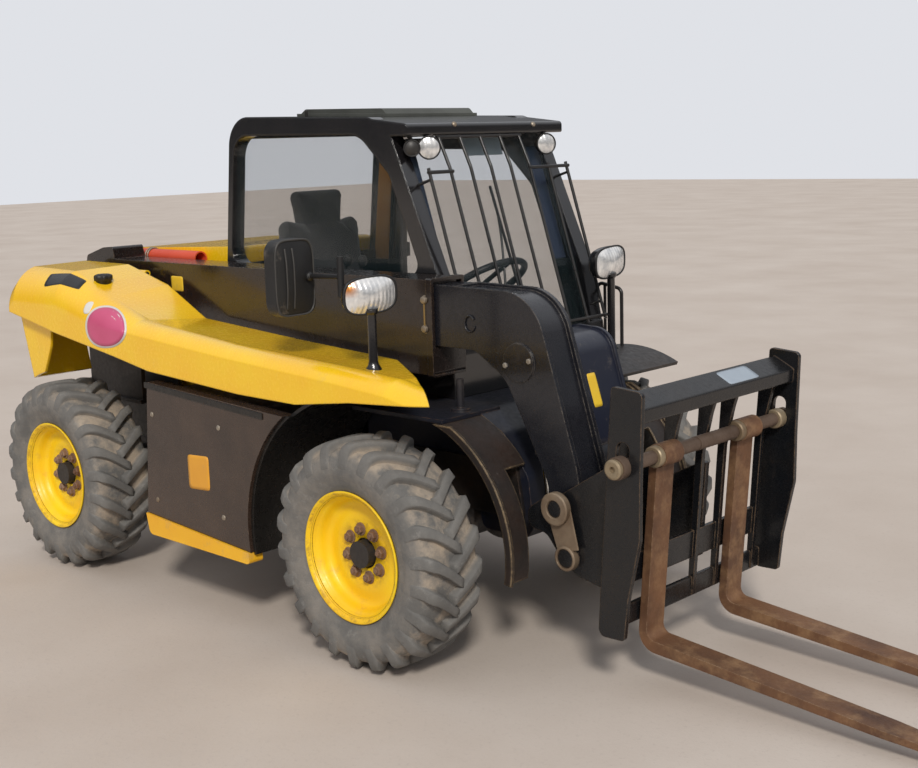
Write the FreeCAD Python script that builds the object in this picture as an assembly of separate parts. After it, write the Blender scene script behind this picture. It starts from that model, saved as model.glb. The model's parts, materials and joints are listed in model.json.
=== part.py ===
"""Compact side-boom telehandler with pallet forks.

Lengths are millimetres and angles degrees.  The model is laid out from the front axle: +X forwards, +Y to the
driver's left, +Z up, with z = 0 on the ground.  At the end every piece moves by -MID_X, so that the origin is
the middle of the whole machine's footprint.
"""
import FreeCAD
import Part
import math
import os

V = FreeCAD.Vector

# Whole machine
WHEELBASE = 1790.0
TRACK = 1280.0
FORK_TIP_X = 1870.0
SEAT = 0.3
RUN = 6.0

# Tyres, rims, knuckles and axles
TYRE_R = 380.0
TYRE_WIDTH = 264.0
LUG_HEIGHT = 27.0
LUG_COUNT = 22
LUG_ROOT_R = 318.0
RIM_FLANGE_R = 216.0
RIM_WIDTH = 232.0
RIM_WALL = 9.0
DISC_OFFSET = 34.0
DISC_THICK = 12.0
DISC_BORE_R = 50.0
STUD_CIRCLE_R = 79.0
STUD_R = 9.0
STUD_COUNT = 8
KINGPIN_Y = 470.0
KINGPIN_R = 38.0
KNUCKLE_HALF = 85.0
YOKE_THICK = 20.0
AXLE_TUBE_R = 55.0
DIFF_R = 110.0
HUB_R = 72.0

# Chassis
ARCH_LIP_R = 418.0
RAIL_Y = 300.0
RAIL_WALL = 12.0
RAIL_BOTTOM = 460.0
BELLY_BOTTOM = 310.0
RAIL_TOP = 640.0
CHASSIS_REAR = -WHEELBASE - 300.0
NOSE_FRONT = 368.0
DECK_TOP = 795.0
TOWER_WALL = 18.0
TOWER_TOP = 1165.0

# Boom
BOOM_Y0 = -345.0
BOOM_Y1 = -195.0
BOOM_TOP = 1222.0
BOOM_BOTTOM = 905.0
BOOM_REAR = -2110.0
BOOM_FRONT = 0.0
BOOM_WALL = 8.0
PIVOT_X = -1950.0
PIVOT_Z = 1080.0
PIVOT_PIN_R = 30.0
INNER_TOP = 1206.0
INNER_BOTTOM = 1004.0
INNER_REAR = -1700.0
NOSE_WALL = 16.0
NOSE_Y0 = BOOM_Y0 + BOOM_WALL + RUN
NOSE_Y1 = BOOM_Y1 - BOOM_WALL - RUN + 24.0
NOSE_MID_Y = (NOSE_Y0 + NOSE_Y1) / 2
HOUSING_Y1 = 20.0

PROP_R = 32.0
PROP_Y = -151.0
PROP_Z = 1219.0

# Carriage, forks and rams
TILT_X = 525.0
TILT_Z = 530.0
TILT_PIN_R = 24.0
FOOT_PIN_R = 16.0
HITCH_WALL = 19.0
HITCH_TUBE_X = 570.0
HITCH_TUBE_Z = 395.0
HITCH_TUBE_R = 38.0
HITCH_BORE_R = 27.0
TIP_FORWARD = 4.5
FRAME_MID_Y = 14.0
FRAME_HALF = 440.0
FRAME_WALL = 15.0
FRAME_BACK = 757.0
FRAME_TOP = 960.0
FRAME_FOOT = 195.0
SHAFT_X = 811.0
SHAFT_Z = 731.0
SHAFT_R = 21.0
FORK_SPREAD = 222.0
FORK_WIDTH = 90.0
FORK_THICK = 38.0
SHANK_BACK = 785.0
SHANK_THICK = 28.0
HEEL_BOTTOM = 112.0
RAM_Y = -240.0
LIFT_FOOT_X = -1600.0
LIFT_FOOT_Z = 360.0
LIFT_EYE_X = -800.0
LIFT_EYE_Z = 865.0
LIFT_BARREL_R = 41.0
LIFT_ROD_R = 25.0
TILT_FOOT_X = 360.0
TILT_FOOT_Z = 980.0
TILT_EYE_X = 422.0
TILT_EYE_Z = 492.0
TILT_BARREL_R = 33.0
TILT_ROD_R = 18.0

# Cab
CAB_Y0 = -185.0
CAB_Y1 = 650.0
CAB_FRONT = -62.0
CAB_REAR = -1310.0
CAB_WALL = 60.0
CAB_FLOOR = 522.0
CAB_BROW = 1690.0
FLOOR_THICK = 14.0
GLASS = 6.0
GLASS_INSET = 20.0
DOOR_GAP = 6.0
DOOR_THICK = 42.0
ARCH_R = 492.0
REAR_WHEEL_ROOM = 420.0
GRAB_REAR = -135.0
DOOR_HINGE_X = -1218.0
DOOR_HINGE_Y = CAB_Y1 + 22.0
DOOR_HINGE_ZS = (900.0, 1180.0)

# Engine cover
COVER_WALL = 12.0
COVER_Y0 = -398.0
COVER_Y1 = -748.0
HINGE_Y = -384.0
HINGE_Z = 1176.0
HINGE_XS = (-1990.0, -1640.0)
HINGE_PIN_R = 8.0
HINGE_TUBE_R = 15.0

MID_X = (FORK_TIP_X - WHEELBASE - TYRE_R) / 2
WHEELS = (
    # name, axle x, side of the machine
    ("front_left", 0.0, 1),
    ("front_right", 0.0, -1),
    ("rear_left", -WHEELBASE, 1),
    ("rear_right", -WHEELBASE, -1),
)


def point_in(plane, u, v, level):
    """A point (u, v) of an outline, set on the plane xz, xy or yz at the given level."""
    if plane == "xz":
        return V(u, level, v)
    if plane == "xy":
        return V(u, v, level)
    return V(level, u, v)


def face(points, plane, level):
    """A flat face from corners (u, v) or (u, v, radius), with the radii as true arcs."""
    corners = [(p[0], p[1], p[2] if len(p) > 2 else 0.0) for p in points]
    count = len(corners)
    ends = []
    for i, (u, v, radius) in enumerate(corners):
        here = V(u, v, 0)
        back = V(*corners[i - 1][:2], 0) - here
        ahead = V(*corners[(i + 1) % count][:2], 0) - here
        if radius == 0.0:
            ends.append((here, None, here))
            continue
        half = back.getAngle(ahead) / 2
        run = radius / math.tan(half)
        middle = (back.normalize() + ahead.normalize()).normalize()
        centre = here + middle * (radius / math.sin(half))
        ends.append((here + back * run, centre - middle * radius, here + ahead * run))
    edges = []
    for i, (start, mid, end) in enumerate(ends):
        a, b, c = (point_in(plane, p.x, p.y, level) if p else None for p in (start, mid, end))
        if b is not None:
            edges.append(Part.Arc(a, b, c).toShape())
        following = ends[(i + 1) % count][0]
        d = point_in(plane, following.x, following.y, level)
        if c.distanceToPoint(d) > 1e-6:
            edges.append(Part.LineSegment(c, d).toShape())
    return Part.Face(Part.Wire(edges))


def plate(points, plane, low, high):
    """An outline carried square to its plane from low to high."""
    normal = {"xz": V(0, 1, 0), "xy": V(0, 0, 1), "yz": V(1, 0, 0)}[plane]
    return face(points, plane, low).extrude(normal * (high - low))


def block(x0, x1, y0, y1, z0, z1):
    return Part.makeBox(x1 - x0, y1 - y0, z1 - z0, V(x0, y0, z0))


def rod(radius, start, end):
    """A round bar between two points."""
    a = V(*start)
    b = V(*end)
    return Part.makeCylinder(radius, (b - a).Length, a, b - a)


def across(radius, x, z, y0, y1):
    """A round bar along Y."""
    return rod(radius, (x, y0, z), (x, y1, z))


def bent_rod(radius, points, bend):
    """A round bar along straight runs joined by bends of one radius."""
    path = []
    pts = [V(*p) for p in points]
    last = pts[0]
    for before, here, after in zip(pts, pts[1:], pts[2:]):
        back = before - here
        ahead = after - here
        half = back.getAngle(ahead) / 2
        run = bend / math.tan(half)
        back.normalize()
        ahead.normalize()
        middle = (back + ahead).normalize()
        centre = here + middle * (bend / math.sin(half))
        start = here + back * run
        end = here + ahead * run
        path.append(Part.LineSegment(last, start).toShape())
        path.append(Part.Arc(start, centre - middle * bend, end).toShape())
        last = end
    path.append(Part.LineSegment(last, pts[-1]).toShape())
    wire = Part.Wire(path)
    ring = Part.Wire([Part.makeCircle(radius, pts[0], pts[1] - pts[0])])
    return wire.makePipeShell([ring], True, False)


def fused(*shapes):
    whole = shapes[0].multiFuse(list(shapes[1:]))
    return whole.removeSplitter()


def sector(r0, r1, start, stop, x, z, y0, y1):
    """A curved sheet round a point; angles start at straight up and grow towards +X."""
    def at(radius, angle):
        a = math.radians(angle)
        return V(x + radius * math.sin(a), y0, z + radius * math.cos(a))
    middle = (start + stop) / 2
    edges = [
        Part.Arc(at(r1, start), at(r1, middle), at(r1, stop)).toShape(),
        Part.LineSegment(at(r1, stop), at(r0, stop)).toShape(),
        Part.Arc(at(r0, stop), at(r0, middle), at(r0, start)).toShape(),
        Part.LineSegment(at(r0, start), at(r1, start)).toShape(),
    ]
    return Part.Face(Part.Wire(edges)).extrude(V(0, y1 - y0, 0))


def turned(points, x, y, z, side):
    """A profile of (distance outwards from the wheel's middle, radius) turned round the wheel's axis."""
    corners = [V(0, side * w, r) for w, r in points]
    profile = Part.Face(Part.makePolygon(corners + corners[:1]))
    solid = profile.revolve(V(0, 0, 0), V(0, 1, 0), 360)
    solid = Part.makeSolid(solid.Shells[0]) if solid.ShapeType != "Solid" else solid
    solid.translate(V(x, y, z))
    return solid


def lug():
    """One tread bar on the crown, slanting back from the middle to the shoulder, with drafted sides."""
    half = TYRE_WIDTH / 2
    levels = (
        # radius, and the bar's corners as (along the tread, across it)
        (LUG_ROOT_R, ((30.0, 3.0), (66.0, 3.0), (2.0, half), (-46.0, half))),
        (TYRE_R - 5.0, ((36.0, 6.0), (60.0, 6.0), (-2.0, half - 12.0), (-38.0, half - 12.0))),
    )
    wires = []
    for level, corners in levels:
        ends = [V(x, y, level) for x, y in corners]
        wires.append(Part.makePolygon(ends + ends[:1]))
    return Part.makeLoft(wires, True, True)


def tyre_form():
    """Carcass with its two rows of lugs half a pitch apart, made once round the origin."""
    half = TYRE_WIDTH / 2
    bead = RIM_FLANGE_R - 20.0
    bead_w = RIM_WIDTH / 2 - RIM_WALL - SEAT
    base = TYRE_R - LUG_HEIGHT
    side_profile = (
        # distance out from the middle, radius
        (bead_w, bead), (bead_w, RIM_FLANGE_R + 3.0), (half - 4.0, 285.0), (half - 8.0, 326.0), (half * 0.7, base),
    )
    section = list(side_profile) + [(-w, r) for w, r in reversed(side_profile)]
    bars = [lug(), lug().mirror(V(0, 0, 0), V(0, 1, 0))]
    bars[1].rotate(V(0, 0, 0), V(0, 1, 0), 180.0 / LUG_COUNT)
    lugs = []
    for i in range(LUG_COUNT):
        for bar in bars:
            turned_bar = bar.copy()
            turned_bar.rotate(V(0, 0, 0), V(0, 1, 0), 360.0 * i / LUG_COUNT)
            lugs.append(turned_bar)
    return turned(section, 0.0, 0.0, 0.0, 1).multiFuse(lugs)


def tyre(form, x, side):
    shape = form.copy() if side > 0 else form.mirror(V(0, 0, 0), V(0, 1, 0))
    shape.translate(V(x, side * TRACK / 2, TYRE_R))
    return shape


def rim(x, side):
    half = RIM_WIDTH / 2
    seat = RIM_FLANGE_R - 20.0 - SEAT
    section = (
        (half, RIM_FLANGE_R), (half, RIM_FLANGE_R - RIM_WALL), (half - RIM_WALL, seat - RIM_WALL),
        (DISC_OFFSET + DISC_THICK, seat - RIM_WALL - 12.0), (DISC_OFFSET + DISC_THICK, DISC_BORE_R),
        (DISC_OFFSET, DISC_BORE_R), (DISC_OFFSET, seat - RIM_WALL - 12.0), (-half + RIM_WALL, seat - RIM_WALL),
        (-half, RIM_FLANGE_R - RIM_WALL), (-half, RIM_FLANGE_R), (-half + RIM_WALL, RIM_FLANGE_R - 2.0),
        (-half + RIM_WALL, seat), (half - RIM_WALL, seat), (half - RIM_WALL, RIM_FLANGE_R - 2.0),
    )
    y = side * TRACK / 2
    body = turned(section, x, y, TYRE_R, side)
    face_y = y + side * (DISC_OFFSET + DISC_THICK)
    studs = []
    for i in range(STUD_COUNT):
        turn = 2 * math.pi * i / STUD_COUNT
        sx = x + STUD_CIRCLE_R * math.cos(turn)
        sz = TYRE_R + STUD_CIRCLE_R * math.sin(turn)
        studs.append(across(STUD_R, sx, sz, *sorted((face_y - side * 2.0, face_y + side * 24.0))))
    return fused(body, *studs)


def knuckle(x, side):
    """Round steering boss on the kingpin with the hub that the rim's disc bolts to."""
    boss = rod(KINGPIN_R, (x, side * KINGPIN_Y, TYRE_R - KNUCKLE_HALF + SEAT),
               (x, side * KINGPIN_Y, TYRE_R + KNUCKLE_HALF - SEAT))
    disc_inner = TRACK / 2 + DISC_OFFSET - SEAT
    spindle = across(48.0, x, TYRE_R, *sorted((side * KINGPIN_Y, side * disc_inner)))
    drum = across(HUB_R + 30.0, x, TYRE_R, *sorted((side * (disc_inner - 60.0), side * disc_inner)))
    cap = across(DISC_BORE_R - 6.0, x, TYRE_R, *sorted((side * (disc_inner - 4.0), side * (disc_inner + 40.0))))
    return fused(boss, spindle, drum, cap)


def axle(x):
    pieces = [across(AXLE_TUBE_R, x, TYRE_R, -KINGPIN_Y + 60.0, KINGPIN_Y - 60.0)]
    bulge = Part.makeSphere(DIFF_R, V(x, 0, TYRE_R))
    pieces.append(bulge)
    for side in (-1, 1):
        outer = side * KINGPIN_Y
        cheek = sorted((outer - side * (KINGPIN_R + RUN), outer - side * (KINGPIN_R + RUN + 24.0)))
        reach = KNUCKLE_HALF + YOKE_THICK
        pieces.append(block(x - 45.0, x + 45.0, *cheek, TYRE_R - reach, TYRE_R + reach))
        for z0 in (TYRE_R - reach, TYRE_R + KNUCKLE_HALF):
            arm = fused(rod(45.0, (x, outer, z0), (x, outer, z0 + YOKE_THICK)),
                        block(x - 45.0, x + 45.0, *sorted((outer, cheek[0] if side > 0 else cheek[1])),
                              z0, z0 + YOKE_THICK))
            pieces.append(arm)
        pad = sorted((side * (RAIL_Y - RAIL_WALL - 40.0), side * RAIL_Y))
        pieces.append(block(x - 70.0, x + 70.0, *pad, TYRE_R, RAIL_BOTTOM - SEAT))
    return fused(*pieces)


def rail(side):
    """One side plate: high over the axles, deep between them; the left one dips under the whole cab."""
    base = CAB_FLOOR - SEAT
    front_rise = -300.0 if side < 0 else CAB_FRONT + 3.0
    points = (
        (CHASSIS_REAR, RAIL_BOTTOM, 20), (-1440.0, RAIL_BOTTOM, 60), (-1330.0, BELLY_BOTTOM, 40),
        (-420.0, BELLY_BOTTOM, 40), (-300.0, RAIL_BOTTOM, 60), (NOSE_FRONT - 30.0, RAIL_BOTTOM, 20),
        (NOSE_FRONT - 60.0, RAIL_TOP, 20), (front_rise, RAIL_TOP), (front_rise, base), (CAB_REAR - 6.0, base),
        (CAB_REAR - 6.0, RAIL_TOP), (CHASSIS_REAR, RAIL_TOP, 20),
    )
    return plate(points, "xz", *sorted((side * RAIL_Y, side * (RAIL_Y - RAIL_WALL))))


def chassis_frame():
    pieces = [rail(-1), rail(1)]
    inner = RAIL_Y - RAIL_WALL
    base = CAB_FLOOR
    pieces.append(block(CHASSIS_REAR, CHASSIS_REAR + 16.0, -inner, inner, RAIL_BOTTOM, RAIL_TOP))
    pieces.append(block(CHASSIS_REAR, -1700.0, -380.0, inner, RAIL_TOP - 15.0, RAIL_TOP))
    for x in (-1250.0, -900.0, -500.0):
        pieces.append(block(x, x + 60.0, CAB_Y0 + 15.0, inner, base - 70.0, base - SEAT))
    pieces.append(block(-1250.0, -440.0, CAB_Y0 + 15.0, CAB_Y0 + 27.0, base - 140.0, base - SEAT))
    pieces.append(block(-420.0, -404.0, -inner, inner, BELLY_BOTTOM + 30.0, base - SEAT))
    pieces.append(block(-1330.0, -1314.0, CAB_Y0 + 15.0, inner, BELLY_BOTTOM + 30.0, base - SEAT))
    # Boom towers: two upright plates with the pivot pin between them
    towers = (
        # near face, front top corners: the right one reaches forwards to carry the cover's hinge
        (BOOM_Y0 - RUN - TOWER_WALL, ((-1600.0, TOWER_TOP - 20.0, 20), (-1600.0, 1080.0, 20))),
        (BOOM_Y1 + RUN, ((PIVOT_X + 95.0, TOWER_TOP, 90),)),
    )
    for y0, front_top in towers:
        outline = ((CHASSIS_REAR, RAIL_TOP - 15.0), (CHASSIS_REAR, 900.0, 60), (PIVOT_X - 95.0, TOWER_TOP, 90),
                   *front_top, (-1700.0, 900.0, 60), (-1700.0, RAIL_TOP - 15.0))
        pieces.append(plate(outline, "xz", y0, y0 + TOWER_WALL))
    for x in HINGE_XS:
        pin = rod(HINGE_PIN_R, (x - 22.0, HINGE_Y, HINGE_Z), (x + 60.0, HINGE_Y, HINGE_Z))
        ear = rod(HINGE_TUBE_R - 2.0, (x - 24.0, HINGE_Y, HINGE_Z), (x - 4.0, HINGE_Y, HINGE_Z))
        web = block(x - 24.0, x - 4.0, HINGE_Y - 4.0, BOOM_Y0 - RUN - 1.0, TOWER_TOP - 60.0, HINGE_Z)
        pieces += [pin, ear, web]
    pieces.append(across(PIVOT_PIN_R, PIVOT_X, PIVOT_Z, BOOM_Y0 - RUN - TOWER_WALL - 12.0, BOOM_Y1 + RUN + 12.0))
    # Foot of the lift ram
    foot = across(FOOT_PIN_R, LIFT_FOOT_X, LIFT_FOOT_Z, -inner, RAM_Y + 60.0)
    lug = plate(((LIFT_FOOT_X - 45.0, LIFT_FOOT_Z - 40.0, 30), (LIFT_FOOT_X + 45.0, LIFT_FOOT_Z - 40.0, 30),
                 (LIFT_FOOT_X + 70.0, RAIL_TOP - 15.0), (LIFT_FOOT_X - 110.0, RAIL_TOP - 15.0)),
                "xz", RAM_Y + 48.0, RAM_Y + 62.0)
    side_lug = plate(((LIFT_FOOT_X - 45.0, LIFT_FOOT_Z - 40.0, 30), (LIFT_FOOT_X + 45.0, LIFT_FOOT_Z - 40.0, 30),
                      (LIFT_FOOT_X + 70.0, RAIL_BOTTOM + 30.0), (LIFT_FOOT_X - 70.0, RAIL_BOTTOM + 30.0)),
                     "xz", -RAIL_Y, -inner)
    bridge = block(LIFT_FOOT_X - 110.0, LIFT_FOOT_X - 95.0, RAM_Y + 48.0, inner, RAIL_BOTTOM + 60.0, RAIL_TOP)
    shelf = block(-1701.0, LIFT_FOOT_X + 70.0, RAM_Y + 48.0, inner, RAIL_TOP - 15.0, RAIL_TOP)
    pieces += [foot, lug, side_lug, bridge, shelf]
    return fused(*pieces)


def chassis_nose():
    """Front block between the wheels, with the deck behind it and the round post that the boom comes down on."""
    inner = RAIL_Y - RAIL_WALL - SEAT
    rear = CAB_FRONT + 3.0
    points = (
        (rear, 500.0), (rear, DECK_TOP), (130.0, DECK_TOP, 60), (247.0, 735.0, 60), (350.0, 600.0, 80),
        (NOSE_FRONT, 430.0, 30), (340.0, 398.0, 20), (150.0, 398.0, 30), (120.0, 500.0, 30),
    )
    core = plate(points, "xz", -inner, inner)
    shelf = block(-400.0, rear + 1.0, -inner, CAB_Y0 - SEAT - 7.0, 560.0, DECK_TOP)
    deck = block(-276.0, 150.0, -470.0, CAB_Y0 - SEAT - 7.0, DECK_TOP - 14.0, DECK_TOP)
    post = rod(13.0, (90.0, -320.0, DECK_TOP - 2.0), (90.0, -320.0, DECK_TOP + 105.0))
    flange = rod(34.0, (90.0, -320.0, DECK_TOP - 2.0), (90.0, -320.0, DECK_TOP + 10.0))
    return fused(core, shelf, deck, post, flange)


def front_arch(side):
    """Wheel-house sheet round the front of a front wheel, with the worn lip on its outer edge."""
    house = fused(
        sector(ARCH_LIP_R, ARCH_LIP_R + 12.0, 8.0, 52.0, 0.0, TYRE_R,
               *sorted((side * (RAIL_Y - RAIL_WALL), side * 485.0))),
        sector(ARCH_LIP_R, ARCH_LIP_R + 12.0, 52.0, 100.0, 0.0, TYRE_R, *sorted((side * 385.0, side * 485.0))),
    )
    lip = sector(ARCH_LIP_R, ARCH_LIP_R + 28.0, 8.0, 100.0, 0.0, TYRE_R, *sorted((side * 473.0, side * 485.0)))
    shape = fused(house, lip)
    clear = block(-500.0, 500.0, -500.0, 500.0, DECK_TOP - 14.0 - SEAT, 1000.0)
    return shape.cut(clear)


def mudguard(side):
    """Liner behind a front wheel, from under the deck down to the sill."""
    inner = side * (RAIL_Y + SEAT)
    outer = side * 742.0
    sheet = sector(503.0, 514.7, -100.0, -15.0, 0.0, TYRE_R, *sorted((inner, outer)))
    if side < 0:
        return sheet.cut(block(-600.0, 0.0, -800.0, -722.0, 800.0, 1000.0))
    return sheet.cut(block(-600.0, 0.0, 300.0, 800.0, DECK_TOP - 10.0, 1000.0))


def engine_block():
    points = (
        (-1150.0, 350.0, 40), (-560.0, 350.0, 40), (-560.0, 560.0, 30), (-600.0, 790.0, 40), (-1150.0, 790.0, 40),
    )
    return plate(points, "xz", -700.0, -RAIL_Y - SEAT)


def side_panel():
    """Panel under the engine cover: a flat skin with its edges turned in to the engine's frame."""
    arc = 515.0
    low = math.sqrt(arc ** 2 - (TYRE_R - 300.0) ** 2)
    top = (-math.sqrt(arc ** 2 - (800.0 - TYRE_R) ** 2), 800.0)
    mid_angle = math.radians(125.0)
    mid = (-arc * math.sin(mid_angle), TYRE_R - arc * math.cos(mid_angle))

    def skin(y):
        a = V(-1070.0, y, 838.0)
        b = V(-1120.0, y, 340.0)
        c = V(-low, y, 300.0)
        d = V(mid[0], y, mid[1])
        e = V(top[0], y, top[1])
        edges = [
            Part.LineSegment(a, b).toShape(), Part.LineSegment(b, c).toShape(),
            Part.Arc(c, d, e).toShape(), Part.LineSegment(e, a).toShape(),
        ]
        return Part.Face(Part.Wire(edges))
    whole = skin(-756.0).extrude(V(0, 756.0 - 700.0 - SEAT, 0))
    pocket = block(-1060.0, -620.0, -744.0, -690.0, 370.0, 770.0)
    return whole.cut(pocket)


def sill_strip():
    points = ((-1122.0, 340.0 - SEAT), (-512.0, 299.0), (-506.0, 258.0, 15), (-1105.0, 262.0, 25))
    return plate(points, "xz", -764.0, -704.0)


def left_tank():
    """Tank and step under the door."""
    points = (
        (-1200.0, 330.0, 60), (-1200.0, 500.0, 20), (-560.0, 500.0, 20), (-560.0, 330.0, 60),
    )
    tank = plate(points, "xz", RAIL_Y + SEAT, 640.0)
    step = block(-1050.0, -620.0, 639.0, 735.0, 322.0, 336.0)
    side = block(-1050.0, -620.0, 723.0, 735.0, 322.0, 372.0)
    hanger = block(-1050.0, -1036.0, 639.0, 735.0, 322.0, 420.0)
    hanger2 = block(-634.0, -620.0, 639.0, 735.0, 322.0, 420.0)
    wheel_room = across(REAR_WHEEL_ROOM, -WHEELBASE, TYRE_R, RAIL_Y + 100.0, 800.0)
    return fused(tank, step, side, hanger, hanger2).cut(wheel_room)


def left_fender():
    """Round mudguard over the left front wheel that carries the lamp and the grab rail."""
    return sector(ARCH_R - 13.0, ARCH_R - SEAT, -82.0, 26.0, 0.0, TYRE_R, RAIL_Y + SEAT, 745.0)


def fender_top(x):
    """Height of the left mudguard's top over a place along it."""
    return TYRE_R + math.sqrt((ARCH_R - SEAT) ** 2 - x ** 2)


def rear_cover_left():
    """Moulded cover over the tanks at the left rear, open over the rear wheel."""
    y0 = PROP_Y + PROP_R + 3.0
    front = CAB_REAR - 8.0
    body = plate(((-2112.0, 700.0, 40), (-2112.0, 1245.0, 60), (front, 1275.0, 25), (front, 700.0, 25)),
                 "xz", y0, 705.0)
    edge = plate(((y0, RAIL_TOP + SEAT), (y0, 1280.0), (600.0, 1280.0, 70), (705.0, 1180.0, 60), (705.0, 690.0)),
                 "yz", -2200.0, -1200.0)
    body = body.common(edge)
    arch = across(ARCH_R, -WHEELBASE, TYRE_R, 330.0, 800.0)
    core = block(-2085.0, -1340.0, y0 + 5.0, RAIL_Y, RAIL_TOP + SEAT, 720.0)
    ledge = block(-2100.0, -1550.0, PROP_Y - 12.0, y0 + 5.0, PROP_Z - PROP_R - 60.0, PROP_Z - PROP_R - SEAT)
    return fused(body, core, ledge).cut(arch)


def boom_prop():
    """Safety prop stowed beside the boom: a tube in two halves held by one strap."""
    y = PROP_Y
    z = PROP_Z
    tube = rod(PROP_R, (-2115.0, y, z), (-1535.0, y, z))
    bore = rod(PROP_R - 6.0, (-2125.0, y, z), (-1525.0, y, z))
    gap = block(-1893.0, -1867.0, y - 50.0, y + 50.0, z - 50.0, z + 50.0)
    strap = rod(PROP_R - 1.5, (-1905.0, y, z), (-1855.0, y, z))
    ring = tube.cut(bore).cut(gap)
    return fused(ring, strap.cut(bore))


def rear_hitch():
    """Counterweight plate with a vertical pin bore between two ears."""
    weight = plate(((CHASSIS_REAR - 70.0, 400.0, 12), (CHASSIS_REAR - 70.0, 580.0, 12),
                    (CHASSIS_REAR - SEAT, 580.0), (CHASSIS_REAR - SEAT, 400.0)), "xz", -260.0, 260.0)
    slot = block(CHASSIS_REAR - 90.0, CHASSIS_REAR - 20.0, -45.0, 45.0, 455.0, 525.0)
    bore = rod(13.0, (CHASSIS_REAR - 46.0, 0, 380.0), (CHASSIS_REAR - 46.0, 0, 620.0))
    return weight.cut(slot).cut(bore)


def rear_lights():
    """Lamp boxes on the two rear corners of the counterweight."""
    lamps = []
    for side in (-1, 1):
        arm = block(CHASSIS_REAR - 30.0, CHASSIS_REAR - SEAT, *sorted((side * 262.0, side * 400.0)), 600.0, 622.0)
        lamp = block(CHASSIS_REAR - 52.0, CHASSIS_REAR - 8.0, *sorted((side * 290.0, side * 400.0)), 604.0, 690.0)
        lamps.append(fused(arm, lamp))
    return Part.makeCompound(lamps)


# Side view of the cab; the front posts lean back and the roof's corners are round
CAB_SIDE = (
    # x, z, corner radius
    (CAB_REAR, CAB_FLOOR, 20), (CAB_REAR, 1200.0, 150), (-1241.0, 1786.0, 120), (-440.0, 1759.0, 60),
    (-335.0, 1690.0, 50), (-118.0, 1190.0, 60), (CAB_FRONT, 940.0, 60), (CAB_FRONT, CAB_FLOOR, 20),
)
# The same view inside the posts
CAB_WINDOW = (
    (-1280.0, 1212.0, 60), (-1222.0, 1712.0, 90), (-500.0, 1698.0, 120), (-352.0, 1560.0, 60),
    (-205.0, 1212.0, 40),
)
DOOR_OPENING = (
    (-1195.0, 880.0, 30), (-1195.0, 1200.0, 200), (-1148.0, 1690.0, 90), (-505.0, 1690.0, 100),
    (-345.0, 1545.0, 70), (-192.0, 1180.0, 60), (-150.0, 960.0, 60), (-330.0, 905.0, 60), (-530.0, 700.0, 60),
    (-560.0, 585.0, 40), (-1110.0, 585.0, 60),
)


def side_frame(y0, y1, window):
    return plate(CAB_SIDE, "xz", y0, y1).cut(plate(window, "xz", y0 - 1.0, y1 + 1.0))


def cab_frame():
    """Rounded post frame: two side hoops, cross members, floor and the lower front and rear panels."""
    y0 = CAB_Y0
    y1 = CAB_Y1
    right = side_frame(y0, y0 + CAB_WALL, CAB_WINDOW)
    left = side_frame(y1 - CAB_WALL, y1, DOOR_OPENING)
    floor = block(CAB_REAR + 10.0, -72.0, y0 + 10.0, y1 - 10.0, CAB_FLOOR, CAB_FLOOR + FLOOR_THICK)
    rear = plate(((CAB_REAR, CAB_FLOOR, 10), (CAB_REAR, 1195.0, 10), (CAB_REAR + 2.0, 1212.0), (-1266.0, 1212.0),
                  (-1280.0, CAB_FLOOR, 10)), "xz", y0, y1)
    front = plate(((-100.0, CAB_FLOOR), (-100.0, 930.0), (-103.0, 975.0), (-66.0, 975.0), (-62.0, 940.0),
                   (-62.0, CAB_FLOOR)), "xz", y0, y1)
    # Rear header inside the hoops' own outline, front header drawn out as a low visor
    rear_band = ((-1330.0, 1700.0), (-1330.0, 1850.0), (-1060.0, 1850.0), (-1060.0, 1738.0), (-1190.0, 1730.0, 60),
                 (-1225.0, 1700.0))
    rear_header = plate(CAB_SIDE, "xz", y0, y1).common(plate(rear_band, "xz", y0, y1))
    front_header = plate(((-500.0, 1712.0), (-500.0, 1761.0), (-255.0, 1731.0, 15), (-255.0, CAB_BROW, 8),
                          (-400.0, CAB_BROW, 15), (-430.0, 1712.0, 15)), "xz", y0, y1)
    whole = fused(right, left, floor, rear, front, rear_header, front_header, *door_hinges())
    arch = across(ARCH_R, 0.0, TYRE_R, RAIL_Y - 12.0, CAB_Y1 + 20.0)
    rear_wheel_room = across(REAR_WHEEL_ROOM, -WHEELBASE, TYRE_R, RAIL_Y + 100.0, 800.0)
    return whole.cut(arch).cut(rear_wheel_room)


def cab_roof():
    """Roof skin between the headers with a raised hatch frame."""
    skin = plate(((-1059.0, 1740.0), (-1059.0, 1779.0, 10), (-501.0, 1760.5, 10), (-501.0, 1722.0)),
                 "xz", CAB_Y0 + CAB_WALL + SEAT, CAB_Y1 - CAB_WALL - SEAT)
    return skin.cut(block(-1020.0, -560.0, 0.0, 470.0, 1600.0, 1900.0))


def roof_hatch():
    base = plate(((-1035.0, 1778.2 + SEAT), (-1035.0, 1790.0), (-545.0, 1774.0), (-545.0, 1762.0 + SEAT)),
                 "xz", -15.0, 485.0)
    dome = plate(((-1030.0, 1788.0), (-1000.0, 1806.0, 25), (-570.0, 1794.0, 25), (-550.0, 1773.0)),
                 "xz", 0.0, 470.0)
    return fused(base, dome)


def glass_side(y, outline):
    return plate(outline, "xz", y, y + GLASS)


def shrunk(points, share):
    """An outline drawn in towards its middle by a distance."""
    u = sum(p[0] for p in points) / len(points)
    v = sum(p[1] for p in points) / len(points)
    result = []
    for p in points:
        d = math.hypot(p[0] - u, p[1] - v)
        k = 1.0 - share / d
        result.append((u + (p[0] - u) * k, v + (p[1] - v) * k, p[2]))
    return result


def right_glass():
    return glass_side(CAB_Y0 + GLASS_INSET, shrunk(CAB_WINDOW, SEAT))


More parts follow.
